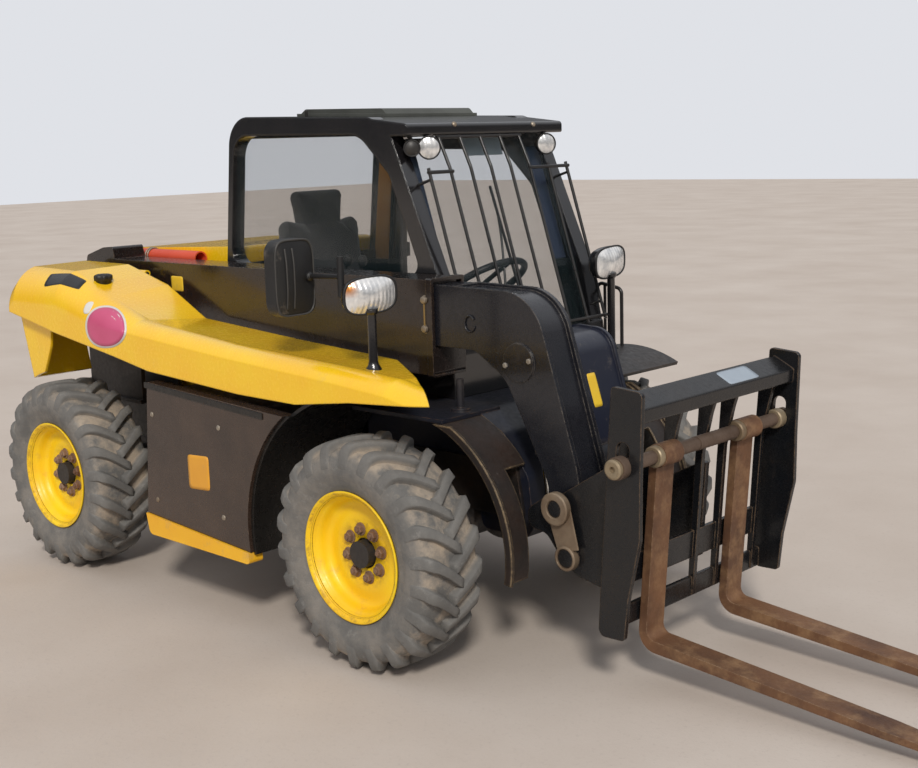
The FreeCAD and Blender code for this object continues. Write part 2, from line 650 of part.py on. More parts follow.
def windscreen():
    """Raked pane between the front posts, from the header down to the front panel."""
    low = (-103.0, 976.0)
    knee = (-150.0, 1190.0)
    high = (-333.0, CAB_BROW)
    points = (low, (low[0] + GLASS, low[1]), (knee[0] + GLASS, knee[1] + 2.0), (high[0] + GLASS, high[1] - SEAT),
              (high[0] - 1.0, high[1] - SEAT), knee)
    return plate(points, "xz", CAB_Y0 + CAB_WALL + SEAT, CAB_Y1 - CAB_WALL - SEAT)


def rear_glass():
    points = ((-1298.0, 1212.0 + SEAT), (-1292.0, 1212.0 + SEAT), (-1236.0, 1700.0 - SEAT), (-1242.0, 1700.0 - SEAT))
    return plate(points, "xz", CAB_Y0 + CAB_WALL + SEAT, CAB_Y1 - CAB_WALL - SEAT)


def windscreen_guard():
    """Eight bars in front of the windscreen: five bend up to the header, the outer three stop below the lamps."""
    foot = (-25.0, 985.0)
    knee = (-210.0, 1575.0)
    top = (-262.0, CAB_BROW - SEAT - 6.5)
    ys = [CAB_Y0 + 55.0 + 106.4 * i for i in range(8)]
    bars = []
    for i, y in enumerate(ys):
        if 1 <= i <= 5:
            bars.append(bent_rod(6.0, ((top[0], y, top[1]), (knee[0], y, knee[1]), (foot[0], y, foot[1])), 60.0))
        else:
            bars.append(rod(6.0, (knee[0] - 1.0, y, knee[1] + 3.0), (foot[0], y, foot[1])))
    cross_bars = (
        # x, z, y from, y to: one under the header, a short one at each side, one along the feet
        (top[0], top[1], ys[1] - 12.0, ys[5] + 12.0), (-204.0, 1564.0, ys[0] - 9.0, ys[1] + 9.0),
        (-204.0, 1564.0, ys[5] - 9.0, ys[7] + 9.0), (-27.2, 1000.0, ys[0] - 9.0, ys[7] + 9.0),
    )
    for x, z, low, high in cross_bars:
        bars.append(rod(6.5, (x, low, z), (x, high, z)))
    for y in (ys[0], ys[7]):
        bars.append(rod(5.0, (-46.0, y, 1052.0), (-110.0, y, 1030.0)))
        bars.append(rod(5.0, (-198.0, y, 1540.0), (-300.0, y, 1510.0)))
    cab = plate(CAB_SIDE, "xz", CAB_Y0, CAB_Y1)
    cab.translate(V(SEAT, 0, 0))
    return fused(*bars).cut(cab)


def seat():
    squab = plate(((-1160.0, 850.0, 30), (-1160.0, 935.0, 30), (-690.0, 965.0, 40), (-670.0, 850.0, 30)),
                  "xz", 5.0, 425.0)
    back = plate(((-1235.0, 920.0, 30), (-1255.0, 1360.0, 40), (-1165.0, 1375.0, 40), (-1105.0, 920.0, 30)),
                 "xz", 20.0, 410.0)
    head = plate(((-1250.0, 1350.0), (-1250.0, 1500.0, 30), (-1175.0, 1500.0, 30), (-1170.0, 1350.0)),
                 "xz", 105.0, 325.0)
    return fused(squab, back, head)


def seat_base():
    return plate(((-1165.0, CAB_FLOOR + FLOOR_THICK + SEAT), (-1145.0, 850.0 - SEAT), (-730.0, 850.0 - SEAT),
                  (-690.0, CAB_FLOOR + FLOOR_THICK + SEAT)), "xz", 45.0, 385.0)


def steering_column():
    """Dash pod with the column and its wheel."""
    floor = CAB_FLOOR + FLOOR_THICK + SEAT
    pod = plate(((-120.0, floor), (-120.0, 985.0, 40), (-230.0, 1030.0, 40), (-300.0, 900.0, 60), (-230.0, floor)),
                "xz", 130.0, RAIL_Y - 8.0)
    foot = V(-235.0, 250.0, 985.0)
    top = V(-330.0, 250.0, 1130.0)
    column = Part.makeCylinder(26.0, (top - foot).Length, foot, top - foot)
    ring = Part.makeTorus(180.0, 13.0, top, top - foot)
    spokes = []
    along = (top - foot).normalize()
    flat = V(0, 1, 0)
    slope = flat.cross(along)
    for turn in (90.0, 210.0, 330.0):
        a = math.radians(turn)
        tip = top + (flat * math.cos(a) + slope * math.sin(a)) * 178.0
        spokes.append(Part.makeCylinder(9.0, (tip - top).Length, top, tip - top))
    return fused(pod, column, ring, *spokes)


def side_console():
    floor = CAB_FLOOR + FLOOR_THICK + SEAT
    return plate(((-1150.0, floor), (-1150.0, 1090.0, 60), (-900.0, 1140.0, 60), (-620.0, 1120.0, 70),
                  (-500.0, 900.0, 60), (-440.0, floor)), "xz", CAB_Y0 + CAB_WALL + SEAT, -10.0)


def work_lights():
    """Three round lamps under the roof's front edge: a small and a large one at the right, a large one at the left."""
    lamps = []
    large = 42.0
    table = (
        # y, lamp radius
        (-154.0, 28.0), (-88.0, large), (545.0, large),
    )
    for y, radius in table:
        z = CAB_BROW - SEAT - large
        lamps.append(rod(radius, (-282.0, y, z), (-222.0, y, z)))
    return Part.makeCompound([fused(lamps[0], lamps[1]), lamps[2]])


def headlamp(x, y, z, under):
    """Oval lamp on an upright post that stands on what is under it."""
    body = plate(((y - 88.0, z - 50.0, 40), (y - 88.0, z + 52.0, 42), (y + 88.0, z + 58.0, 48),
                  (y + 88.0, z - 58.0, 50)), "yz", x - 60.0, x + 12.0)
    low = z - 350.0
    foot_z = z - 232.0 if y < 0 else fender_top(x)
    post = rod(13.0, (x, y, low), (x, y, z - 40.0))
    foot = rod(22.0, (x, y, low), (x, y, foot_z + 16.0))
    whole = fused(body, post, foot).cut(under)
    return sorted(whole.Solids, key=lambda piece: piece.BoundBox.ZMax)[-1]


def mirror():
    """Mirror on a short arm and stub tube from the right lamp's post."""
    head = plate(((-770.0, 1122.0, 50), (-770.0, 1372.0, 45), (-610.0, 1376.0, 55), (-604.0, 1126.0, 40)),
                 "yz", -330.0, -280.0)
    arm = rod(8.0, (-300.0, -640.0, 1250.0), (-112.0, -640.0, 1256.0))
    stub = rod(11.0, (-112.0, -640.0, 1190.0), (-112.0, -640.0, 1320.0))
    link = rod(8.0, (-112.0, -640.0, 1200.0), (-60.0 - SEAT, -640.0, 1200.0))
    return fused(head, arm, stub, link)


def grab_rail():
    """Loop of bent rod beside the foot of the left front post."""
    y = 705.0
    rear = GRAB_REAR
    front = GRAB_REAR + 118.0
    low = fender_top(rear) - 6.0
    loop = bent_rod(7.0, ((rear, y, low), (rear, y, 1112.0), (front, y, 1090.0), (front, y, low)), 25.0)
    mid = rod(6.0, (rear + 38.0, y, 1104.0), (rear + 38.0, y, low))
    return fused(loop, mid).cut(across(ARCH_R, 0.0, TYRE_R, 600.0, 800.0))


def door():
    """Left door: one frame round the pane, hinged on the rear post."""
    y0 = CAB_Y1 - DOOR_THICK
    outer = shrunk(DOOR_OPENING, DOOR_GAP + 2.0)
    frame = plate(outer, "xz", y0, CAB_Y1)
    frame = frame.cut(plate(shrunk(DOOR_OPENING, 62.0), "xz", y0 - 1.0, CAB_Y1 + 1.0))
    tubes = []
    bores = []
    x = DOOR_HINGE_X
    y = DOOR_HINGE_Y
    for z in DOOR_HINGE_ZS:
        tubes.append(rod(HINGE_TUBE_R, (x, y, z), (x, y, z + 60.0)))
        tubes.append(block(x, x + 75.0, y - 6.0, y + 6.0, z, z + 60.0))
        tubes.append(block(x + 45.0, x + 75.0, CAB_Y1 - 3.0, y + 6.0, z, z + 60.0))
        bores.append(rod(HINGE_PIN_R + SEAT, (x, y, z - 5.0), (x, y, z + 65.0)))
    whole = fused(frame, *tubes)
    for bore in bores:
        whole = whole.cut(bore)
    return whole


def door_hinges():
    """Pins of the door with the brackets that carry them on the rear post."""
    pieces = []
    for z in DOOR_HINGE_ZS:
        x = DOOR_HINGE_X
        y = DOOR_HINGE_Y
        pieces.append(rod(HINGE_PIN_R, (x, y, z - 20.0), (x, y, z + 60.0)))
        pieces.append(rod(HINGE_TUBE_R, (x, y, z - 22.0), (x, y, z - 1.0)))
        pieces.append(block(x - 15.0, x + 15.0, CAB_Y1 - 1.0, y, z - 22.0, z - 1.0))
    return pieces


def door_glass():
    return glass_side(CAB_Y1 - DOOR_THICK + 12.0, shrunk(DOOR_OPENING, 62.0 + SEAT))


# Cross sections of the engine cover
COVER_STATIONS = (
    # x, inner edge z, shoulder z, side z, shoulder y
    (-2052.0, 1196.0, 1190.0, 1050.0, -625.0),
    (-2012.0, 1215.0, 1211.0, 1078.0, -640.0),
    (-1690.0, 1212.0, 1206.0, 1084.0, -640.0),
    (-1420.0, 1142.0, 1118.0, 1044.0, -650.0),
    (-1180.0, 1024.0, 1046.0, 1030.0, -650.0),
    (-620.0, 985.0, 1000.0, 990.0, -655.0),
    (-80.0, 953.0, 975.0, 960.0, -655.0),
    (180.0, 940.0, 958.0, 940.0, -655.0),
    (378.0, 905.0, 915.0, 900.0, -655.0),
)
COVER_EDGE = (
    # Lower edge of the cover's side, from the tail to the front tip
    (-2130.0, 1040.0), (-2052.0, 1032.0), (-1896.0, 1005.0, 80), (-1709.0, 971.0, 80), (-1297.0, 913.0),
    (-1070.0, 877.0), (-540.0, 848.0, 300), (-240.0, 846.0, 80), (20.0, 880.0, 150), (388.0, 905.0),
)
# In plan the cover's front runs out along this slanting line to a tip beside the wheel
COVER_FRONT = ((-120.0, COVER_Y0), (373.0, -742.0))
LEG_Y = -703.0


def cover_section(x, inner_z, shoulder_z, side_z, shoulder_y, inset):
    """Inner edge, flat top, rolled shoulder and side of the cover at one place."""
    top_in = V(x, COVER_Y0 + (60.0 if inset > 0 else 0.0), inner_z - inset)
    shoulder = V(x, shoulder_y + inset * 0.4, shoulder_z - inset)
    side = V(x, COVER_Y1 + inset, side_z - 24.0)
    foot = V(x, COVER_Y1 + inset, 690.0)
    back = V(x, COVER_Y0 + (60.0 if inset > 0 else 0.0), 690.0)
    bulge = V(x, COVER_Y1 * 0.66 + shoulder_y * 0.34 + inset * 0.8, shoulder_z * 0.66 + side_z * 0.34 - inset * 0.8)
    edges = [
        Part.LineSegment(top_in, shoulder).toShape(), Part.Arc(shoulder, bulge, side).toShape(),
        Part.LineSegment(side, foot).toShape(), Part.LineSegment(foot, back).toShape(),
        Part.LineSegment(back, top_in).toShape(),
    ]
    return Part.Wire(edges)


def cover_form(inset):
    wires = []
    for i, (x, inner_z, shoulder_z, side_z, shoulder_y) in enumerate(COVER_STATIONS):
        if inset > 0 and i == 0:
            x += inset
        wires.append(cover_section(x, inner_z, shoulder_z, side_z, shoulder_y, inset))
    return Part.makeLoft(wires, True, True)


def ahead_of_cover(inset):
    """All that lies in front of the cover's slanting end, or behind that line by a wall's thickness."""
    (x0, y0), (x1, y1) = COVER_FRONT
    run = math.hypot(x1 - x0, y1 - y0)
    dx = (y1 - y0) / run * inset
    dy = -(x1 - x0) / run * inset
    return plate(((x0 + dx, y0 + dy), (x1 + dx, y1 + dy), (x1 + 60.0, y1 + dy), (x1 + 60.0, -250.0),
                  (x0 + dx, -250.0)), "xy", 600.0, 1300.0)


def cover_leg():
    """Leg behind the rear wheel, set in under the side's flare, with its slanting back wall."""
    foot = 707.0
    flare = ((-2050.0, 1043.0), (-1896.0, 1016.0), (-1805.0, 999.0))
    skin = plate(((-2050.0, 1043.0), (-1961.0, foot), (-1945.0, foot), (-1880.0, 800.0, 60), (-1824.0, 900.0, 60),
                  (-1805.0, 999.0), (-1896.0, 1016.0)), "xz", LEG_Y, LEG_Y + COVER_WALL)
    ledge = plate((*flare, (-1805.0, 988.0), (-1896.0, 1005.0), (-2050.0, 1032.0)), "xz",
                  COVER_Y1 + 2.0, LEG_Y + 1.0)
    wall = plate(((-2050.0, 1050.0), (-1961.0, foot), (-1949.0, foot), (-2038.0, 1050.0)), "xz", LEG_Y, -440.0)
    wheel_room = across(REAR_WHEEL_ROOM, -WHEELBASE, TYRE_R, -800.0, -400.0)
    return fused(skin, ledge, wall).cut(wheel_room)


def bonnet():
    """Engine cover: a thin moulded shell, open below and towards the boom, hinged beside the boom."""
    outer = cover_form(0.0).cut(ahead_of_cover(0.0))
    shell = outer.cut(cover_form(COVER_WALL).cut(ahead_of_cover(COVER_WALL)))
    below = list(COVER_EDGE) + [(388.0, 600.0), (-2130.0, 600.0)]
    shell = shell.cut(plate(below, "xz", -800.0, -300.0))
    solids = sorted(shell.Solids, key=lambda s: s.Volume)
    whole = [solids[-1], cover_leg()]
    bores = []
    for x in HINGE_XS:
        whole.append(rod(HINGE_TUBE_R, (x, HINGE_Y, HINGE_Z), (x + 60.0, HINGE_Y, HINGE_Z)))
        strap = block(x, x + 60.0, COVER_Y0 - 40.0, COVER_Y0, HINGE_Z - 8.0, HINGE_Z + 60.0)
        whole.append(strap.common(outer))
        whole.append(block(x, x + 60.0, COVER_Y0 - 1.0, HINGE_Y, HINGE_Z - 8.0, HINGE_Z + 8.0))
        bores.append(rod(HINGE_PIN_R + SEAT, (x - 5.0, HINGE_Y, HINGE_Z), (x + 65.0, HINGE_Y, HINGE_Z)))
    whole = fused(*whole)
    for bore in bores:
        whole = whole.cut(bore)
    return whole


def filler_cap():
    cap = rod(26.0, (-1560.0, -590.0, 1118.0), (-1556.0, -606.0, 1182.0)).cut(cover_form(-SEAT))
    return sorted(cap.Solids, key=lambda piece: piece.BoundBox.ZMax)[-1]


def boom_outer():
    y0 = BOOM_Y0
    y1 = BOOM_Y1
    body = plate(((BOOM_REAR, BOOM_BOTTOM, 90), (BOOM_REAR, BOOM_TOP, 110), (BOOM_FRONT, BOOM_TOP),
                  (BOOM_FRONT, BOOM_BOTTOM, 12)), "xz", y0, y1)
    cavity = block(INNER_REAR - 60.0, BOOM_FRONT + 5.0, y0 + BOOM_WALL, y1 - BOOM_WALL,
                   INNER_BOTTOM - RUN, BOOM_TOP - BOOM_WALL)
    lower = block(INNER_REAR - 60.0, BOOM_FRONT - 14.0, y0 + BOOM_WALL, y1 - BOOM_WALL,
                  BOOM_BOTTOM + BOOM_WALL, INNER_BOTTOM - RUN + 1.0)
    shape = body.cut(cavity).cut(lower)
    collar = plate(((y0 - 5.0, BOOM_BOTTOM - 6.0, 8), (y0 - 5.0, BOOM_TOP + 6.0, 8),
                    (y1 + 3.0, BOOM_TOP + 6.0, 8), (y1 + 3.0, BOOM_BOTTOM - 6.0, 8)), "yz", -26.0, 0.0)
    collar = collar.cut(block(-40.0, 10.0, y0 + 2.0, y1 - 2.0, BOOM_BOTTOM + 2.0, BOOM_TOP - 2.0))
    eye_plates = []
    for y in (RAM_Y - 50.0, RAM_Y + 34.0):
        eye_plates.append(plate(((LIFT_EYE_X - 110.0, BOOM_BOTTOM + 4.0), (LIFT_EYE_X + 110.0, BOOM_BOTTOM + 4.0),
                                 (LIFT_EYE_X + 36.0, LIFT_EYE_Z - 36.0, 34),
                                 (LIFT_EYE_X - 36.0, LIFT_EYE_Z - 36.0, 34)), "xz", y, y + 11.0))
    pads = []
    inner_y0 = y0 + BOOM_WALL + RUN
    inner_y1 = y1 - BOOM_WALL - RUN
    for x in (-230.0, -60.0):
        pads.append(block(x, x + 50.0, inner_y0 + 10.0, inner_y1 - 10.0, INNER_TOP + SEAT, BOOM_TOP - BOOM_WALL + 1.0))
        pads.append(block(x, x + 50.0, y0 + BOOM_WALL - 1.0, inner_y0 - SEAT, 1040.0, 1170.0))
        pads.append(block(x, x + 50.0, inner_y1 + SEAT, y1 - BOOM_WALL + 1.0, 1040.0, 1170.0))
    pads.append(block(-60.0, -10.0, inner_y0 + 10.0, inner_y1 - 10.0, BOOM_BOTTOM + 1.0, INNER_BOTTOM - SEAT))
    boss = across(60.0, PIVOT_X, PIVOT_Z, y0 - 4.0, y1 + 4.0)
    # Raised hood over the tail
    hump = plate(((-2100.0, 1190.0), (-2088.0, 1232.0, 20), (-1959.0, 1268.0, 60), (-1886.0, 1273.0, 12),
                  (-1872.0, 1190.0)), "xz", y0 + 0.5, y1 - 0.5)
    shape = fused(shape, collar, boss, hump, *eye_plates, *pads)
    return shape.cut(across(PIVOT_PIN_R + SEAT, PIVOT_X, PIVOT_Z, y0 - 20.0, y1 + 20.0))


NOSE_PROFILE = (
    # x, z, corner radius: inner boom's top, the round brow, front edge, pivot end and hollow rear edge
    (60.0, INNER_TOP), (420.0, INNER_TOP - 6.0, 170), (592.0, 640.0, 300), (590.0, 490.0, 45),
    (505.0, 470.0, 40), (462.0, 625.0, 200), (300.0, 925.0, 160), (170.0, INNER_BOTTOM, 60), (60.0, INNER_BOTTOM),
)


def boom_inner():
    """Sliding section with the goose-neck nose that carries the carriage."""
    y0 = BOOM_Y0 + BOOM_WALL + RUN
    y1 = BOOM_Y1 - BOOM_WALL - RUN
    bar = block(INNER_REAR, 80.0, y0, y1, INNER_BOTTOM, INNER_TOP)
    bar = bar.cut(block(INNER_REAR - 5.0, 40.0, y0 + 10.0, y1 - 10.0, INNER_BOTTOM + 10.0, INNER_TOP - 10.0))
    plates = []
    for y in (NOSE_Y0, NOSE_Y1 - NOSE_WALL):
        plates.append(plate(NOSE_PROFILE, "xz", y, y + NOSE_WALL))
    # Web behind the brow and the front edge, set in so that the side plates stand proud of it
    front = ((60.0, INNER_TOP - 10.0), (410.0, INNER_TOP - 16.0, 160), (582.0, 610.0), (558.0, 602.0),
             (385.0, INNER_TOP - 40.0, 140), (60.0, INNER_TOP - 34.0))
    web = plate(front, "xz", NOSE_Y0 + 1.0, NOSE_Y1 - 1.0)
    cap = plate(((60.0, INNER_BOTTOM), (60.0, INNER_TOP - 10.0), (80.0, INNER_TOP - 10.0), (80.0, INNER_BOTTOM)),
                "xz", NOSE_Y0 + 1.0, NOSE_Y1 - 1.0)
    disc = across(62.0, TILT_FOOT_X, TILT_FOOT_Z, NOSE_Y0 - 7.0, NOSE_Y0 + 2.0)
    boss = across(46.0, TILT_X, TILT_Z, NOSE_Y0 - 2.0, NOSE_Y1 + 2.0)
    pin = across(FOOT_PIN_R, TILT_FOOT_X, TILT_FOOT_Z, NOSE_Y0 + 1.0, NOSE_Y1 - 1.0)
    shape = fused(bar, *plates, web, cap, disc, boss, pin)
    return shape.cut(across(TILT_PIN_R + SEAT, TILT_X, TILT_Z, NOSE_Y0 - 30.0, NOSE_Y1 + 30.0))


def nose_cover():
    """Round-topped cover on the nose's left side, with a raised rim along its far edge."""
    y0 = NOSE_Y1 + 2.5
    outline = ((262.0, 1055.0, 60), (446.0, 1045.0, 80), (556.0, 700.0, 25), (345.0, 700.0, 30), (258.0, 820.0, 60))
    rim_line = [(u + (8.0 if u > 400.0 else 0.0), v + (8.0 if v > 900.0 else 0.0), r + 4) for u, v, r in outline]
    body = plate(outline, "xz", y0, HOUSING_Y1)
    raised = plate(rim_line, "xz", HOUSING_Y1 - 12.0, HOUSING_Y1)
    seat_pad = plate(((300.0, 800.0, 20), (300.0, 1000.0, 20), (430.0, 1000.0, 20), (500.0, 760.0, 20)),
                     "xz", NOSE_Y1 + SEAT, y0 + 1.0)
    return fused(body, raised, seat_pad)


def along(x0, z0, x1, z1, distance):
    """A point on the line between two pins, at a distance from the first."""
    length = math.hypot(x1 - x0, z1 - z0)
    return x0 + (x1 - x0) * distance / length, z0 + (z1 - z0) * distance / length


def barrel(radius, bore, y, foot, eye, reach, eye_width, eye_bore):
    """Ram barrel from its foot eye, bored for the rod from its open end."""
    tip = along(*foot, *eye, reach)
    start = along(*foot, *eye, radius * 0.9)
    hole = along(*foot, *eye, radius + 12.0)
    tube = rod(radius, (start[0], y, start[1]), (tip[0], y, tip[1]))
    ring = across(radius, foot[0], foot[1], y - eye_width / 2, y + eye_width / 2)
    shape = fused(tube, ring)
    shape = shape.cut(rod(bore, (hole[0], y, hole[1]), (tip[0] * 2 - start[0], y, tip[1] * 2 - start[1])))
    return shape.cut(across(eye_bore, foot[0], foot[1], y - eye_width, y + eye_width))


def ram_rod(radius, y, foot, eye, inner_end, eye_radius, eye_width):
    start = along(*foot, *eye, inner_end)
    bar = rod(radius, (start[0], y, start[1]), (eye[0], y, eye[1]))
    return fused(bar, across(eye_radius, eye[0], eye[1], y - eye_width / 2, y + eye_width / 2))


def lift_barrel():
    return barrel(LIFT_BARREL_R, LIFT_ROD_R + SEAT, RAM_Y, (LIFT_FOOT_X, LIFT_FOOT_Z), (LIFT_EYE_X, LIFT_EYE_Z),
                  850.0, 72.0, FOOT_PIN_R + SEAT)


def lift_rod():
    return ram_rod(LIFT_ROD_R, RAM_Y, (LIFT_FOOT_X, LIFT_FOOT_Z), (LIFT_EYE_X, LIFT_EYE_Z), 60.0, 32.0, 66.0)


def tilt_barrel():
    return barrel(TILT_BARREL_R, TILT_ROD_R + SEAT, NOSE_MID_Y, (TILT_FOOT_X, TILT_FOOT_Z),
                  (TILT_EYE_X, TILT_EYE_Z), 300.0, 60.0, FOOT_PIN_R + SEAT)


def tilt_rod():
    return ram_rod(TILT_ROD_R, NOSE_MID_Y, (TILT_FOOT_X, TILT_FOOT_Z), (TILT_EYE_X, TILT_EYE_Z),
                   150.0, 24.0, 50.0)


def tipped(shape):
    """The fork frame leans forwards a little and is set over to the left."""
    shape.rotate(V(820.0, 0, 550.0), V(0, 1, 0), TIP_FORWARD)
    shape.translate(V(0, FRAME_MID_Y, 0))
    return shape


def carriage_hitch():
    """Pivot and cheeks between the boom's nose and the fork frame."""
    right = NOSE_Y0 - RUN - HITCH_WALL
    left = NOSE_Y1 + RUN
    cheeks = []
    outline = ((405.0, 525.0, 30), (480.0, 575.0, 45), (540.0, 590.0, 30), (757.0, 725.0, 20), (780.0, 700.0),
               (750.0, 310.0, 30), (600.0, 340.0, 40), (540.0, 380.0, 30), (480.0, 455.0, 45), (405.0, 465.0, 30))
    for y in (right, left):
        cheeks.append(plate(outline, "xz", y, y + HITCH_WALL))
    pin = across(TILT_PIN_R, TILT_X, TILT_Z, right - 14.0, left + HITCH_WALL + 4.0)
    boss = across(44.0, TILT_X, TILT_Z, right - 12.0, right + HITCH_WALL - 2.0)
    tube = across(HITCH_TUBE_R, HITCH_TUBE_X, HITCH_TUBE_Z, right - 22.0, 130.0)
    bore = across(HITCH_BORE_R, HITCH_TUBE_X, HITCH_TUBE_Z, right - 60.0, 160.0)
    eye_half = 25.0 + 2.0
    stubs = [across(FOOT_PIN_R, TILT_EYE_X, TILT_EYE_Z, right + 2.0, NOSE_MID_Y - eye_half),
             across(FOOT_PIN_R, TILT_EYE_X, TILT_EYE_Z, NOSE_MID_Y + eye_half, left + 2.0)]
    third = plate(((560.0, 430.0, 20), (600.0, 560.0, 30), (757.0, 640.0, 20), (775.0, 620.0), (750.0, 310.0, 30),
                   (600.0, 340.0, 40), (540.0, 370.0, 20)), "xz", 100.0, 119.0)
    ahead = tipped(block(FRAME_BACK + 2.0 - SEAT, 1000.0, -500.0, 500.0, 0.0, 1100.0))
    shape = fused(pin, boss, tube, third, *cheeks, *stubs)
    return shape.cut(bore).cut(ahead)


def fork_frame():
    """Two deep cheeks joined by a folded beam, a foot plate and a row of uprights."""
    pieces = []
    side_outline = (
        (FRAME_BACK, FRAME_TOP, 12), (866.0, FRAME_TOP, 18), (877.0, 695.0, 80), (888.0, 525.0, 60),
        (860.0, 335.0, 60), (855.0, FRAME_FOOT + 10.0, 12), (FRAME_BACK + 3.0, FRAME_FOOT, 25),
    )
    for side in (-1, 1):
        cheek = plate(side_outline, "xz", *sorted((side * FRAME_HALF, side * (FRAME_HALF - FRAME_WALL))))
        hole = SHAFT_R + 2.0
        rise = 50.0
        beyond = FRAME_HALF + 60.0
        slot = fused(across(hole, SHAFT_X, SHAFT_Z, -beyond, beyond),
                     across(hole, SHAFT_X, SHAFT_Z + rise, -beyond, beyond),
                     block(SHAFT_X - hole, SHAFT_X + hole, -beyond, beyond, SHAFT_Z, SHAFT_Z + rise))
        pieces.append(cheek.cut(slot))
    inner = FRAME_HALF - FRAME_WALL + 1.0
    beam = plate(((FRAME_BACK + 2.0, 905.0, 6), (FRAME_BACK + 18.0, 937.0, 8), (852.0, 903.0, 8),
                  (852.0, 858.0, 8), (834.0, 858.0, 5), (832.0, 888.0, 5)), "xz", -inner, inner)
    foot = plate(((FRAME_BACK + 4.0, FRAME_FOOT + 4.0, 5), (FRAME_BACK + 4.0, FRAME_FOOT + 70.0, 5),
                  (FRAME_BACK + 20.0, FRAME_FOOT + 70.0, 5), (FRAME_BACK + 23.0, FRAME_FOOT + 4.0, 5)),
                 "xz", -inner, inner)
    pieces += [beam, foot]
    upright = (
        (FRAME_BACK + 2.0, 918.0, 5), (SHANK_BACK + 40.0, 895.0, 5), (SHANK_BACK + 20.0, 810.0, 30),
        (SHANK_BACK - SEAT, 680.0, 40), (SHANK_BACK - SEAT, FRAME_FOOT + 10.0), (FRAME_BACK + 8.0, FRAME_FOOT + 10.0),
        (FRAME_BACK + 2.0, 620.0, 20),
    )
    for y in (-386.0, -160.0, 20.0, 146.0, 370.0):
        pieces.append(plate(upright, "xz", y, y + 16.0))
    pieces.append(block(FRAME_BACK + 2.0, FRAME_BACK + 16.0, -385.0, 385.0, 330.0, 420.0))
    shaft_hole = across(SHAFT_R + 2.0, SHAFT_X, SHAFT_Z, -inner, inner)
    return tipped(fused(*pieces).cut(shaft_hole))


def fork_shaft():
    shaft = across(SHAFT_R, SHAFT_X, SHAFT_Z, -FRAME_HALF - 26.0, FRAME_HALF + 20.0)
    head = across(34.0, SHAFT_X, SHAFT_Z, -FRAME_HALF - 30.0, -FRAME_HALF - SEAT)
    end = across(30.0, SHAFT_X, SHAFT_Z, FRAME_HALF + SEAT, FRAME_HALF + 16.0)
    return tipped(fused(shaft, head, end))


def fork(y):
    """Forged fork: eye on the shaft, upright shank, round heel and a blade that thins to its tip."""
    front = SHANK_BACK + SHANK_THICK
    drop = math.radians(TIP_FORWARD)
    reach = (FORK_TIP_X - 820.0) / math.cos(drop) + 820.0 - (HEEL_BOTTOM - 550.0) * math.tan(drop)
    outline = (
        (SHANK_BACK, SHAFT_Z, 0), (front, SHAFT_Z, 0), (front, HEEL_BOTTOM + FORK_THICK, 30),
        (reach, HEEL_BOTTOM + 16.0, 4), (reach, HEEL_BOTTOM, 4), (SHANK_BACK, HEEL_BOTTOM, 62),
    )
    body = plate(outline, "xz", y - FORK_WIDTH / 2, y + FORK_WIDTH / 2)
    eye = across(36.0, SHAFT_X, SHAFT_Z, y - FORK_WIDTH / 2, y + FORK_WIDTH / 2)
    shape = fused(body, eye)
    for side in (-1, 1):
        edge = ((reach - 320.0, y + side * 80.0), (reach + 20.0, y + side * 80.0),
                (reach + 20.0, y + side * FORK_WIDTH * 0.24), (reach - 320.0, y + side * FORK_WIDTH / 2))
        shape = shape.cut(plate(edge, "xy", 0.0, 400.0))
    shape = shape.cut(across(SHAFT_R + SEAT, SHAFT_X, SHAFT_Z, y - 80.0, y + 80.0))
    return tipped(shape)


def pieces():
    """Every piece of the machine by its name."""
    parts = {
        "chassis_frame": chassis_frame(),
        "chassis_nose": chassis_nose(),
        "front_axle": axle(0.0),
        "rear_axle": axle(-WHEELBASE),
        "engine_block": engine_block(),
        "front_arches": Part.makeCompound([front_arch(-1), front_arch(1)]),
        "mudguard_right": mudguard(-1),
        "side_panel": side_panel(),
        "sill_strip": sill_strip(),
        "left_tank": left_tank(),
        "left_fender": left_fender(),
        "rear_cover_left": rear_cover_left(),
        "boom_prop": boom_prop(),
        "rear_hitch": rear_hitch(),
        "rear_lights": rear_lights(),
        "cab_frame": cab_frame(),
        "cab_roof": cab_roof(),
        "roof_hatch": roof_hatch(),
        "right_glass": right_glass(),
        "windscreen": windscreen(),
        "rear_glass": rear_glass(),
        "windscreen_guard": windscreen_guard(),
        "seat": seat(),
        "seat_base": seat_base(),
        "steering_column": steering_column(),
        "side_console": side_console(),
        "work_lights": work_lights(),
        "headlamp_left": headlamp(0.0, 617.0, 1200.0, across(ARCH_R, 0.0, TYRE_R, 400.0, 800.0)),
        "grab_rail": grab_rail(),
        "door_frame": door(),
        "door_glass": door_glass(),
        "bonnet": bonnet(),
        "headlamp_right": headlamp(0.0, -617.0, 1200.0, cover_form(-SEAT)),
        "mirror_right": mirror(),
        "filler_cap": filler_cap(),
        "boom_outer": boom_outer(),
        "boom_inner": boom_inner(),
        "nose_cover": nose_cover(),
        "carriage_hitch": carriage_hitch(),
        "fork_frame": fork_frame(),
        "fork_shaft": fork_shaft(),
        "fork_left": fork(FORK_SPREAD),
        "fork_right": fork(-FORK_SPREAD),
        "lift_barrel": lift_barrel(),
        "lift_rod": lift_rod(),
        "tilt_barrel": tilt_barrel(),
        "tilt_rod": tilt_rod(),
    }
    form = tyre_form()
    for name, x, side in WHEELS:
        parts["tyre_" + name] = tyre(form, x, side)
        parts["rim_" + name] = rim(x, side)
    for name, x, side in WHEELS:
        parts["knuckle_" + name] = knuckle(x, side)
    return parts


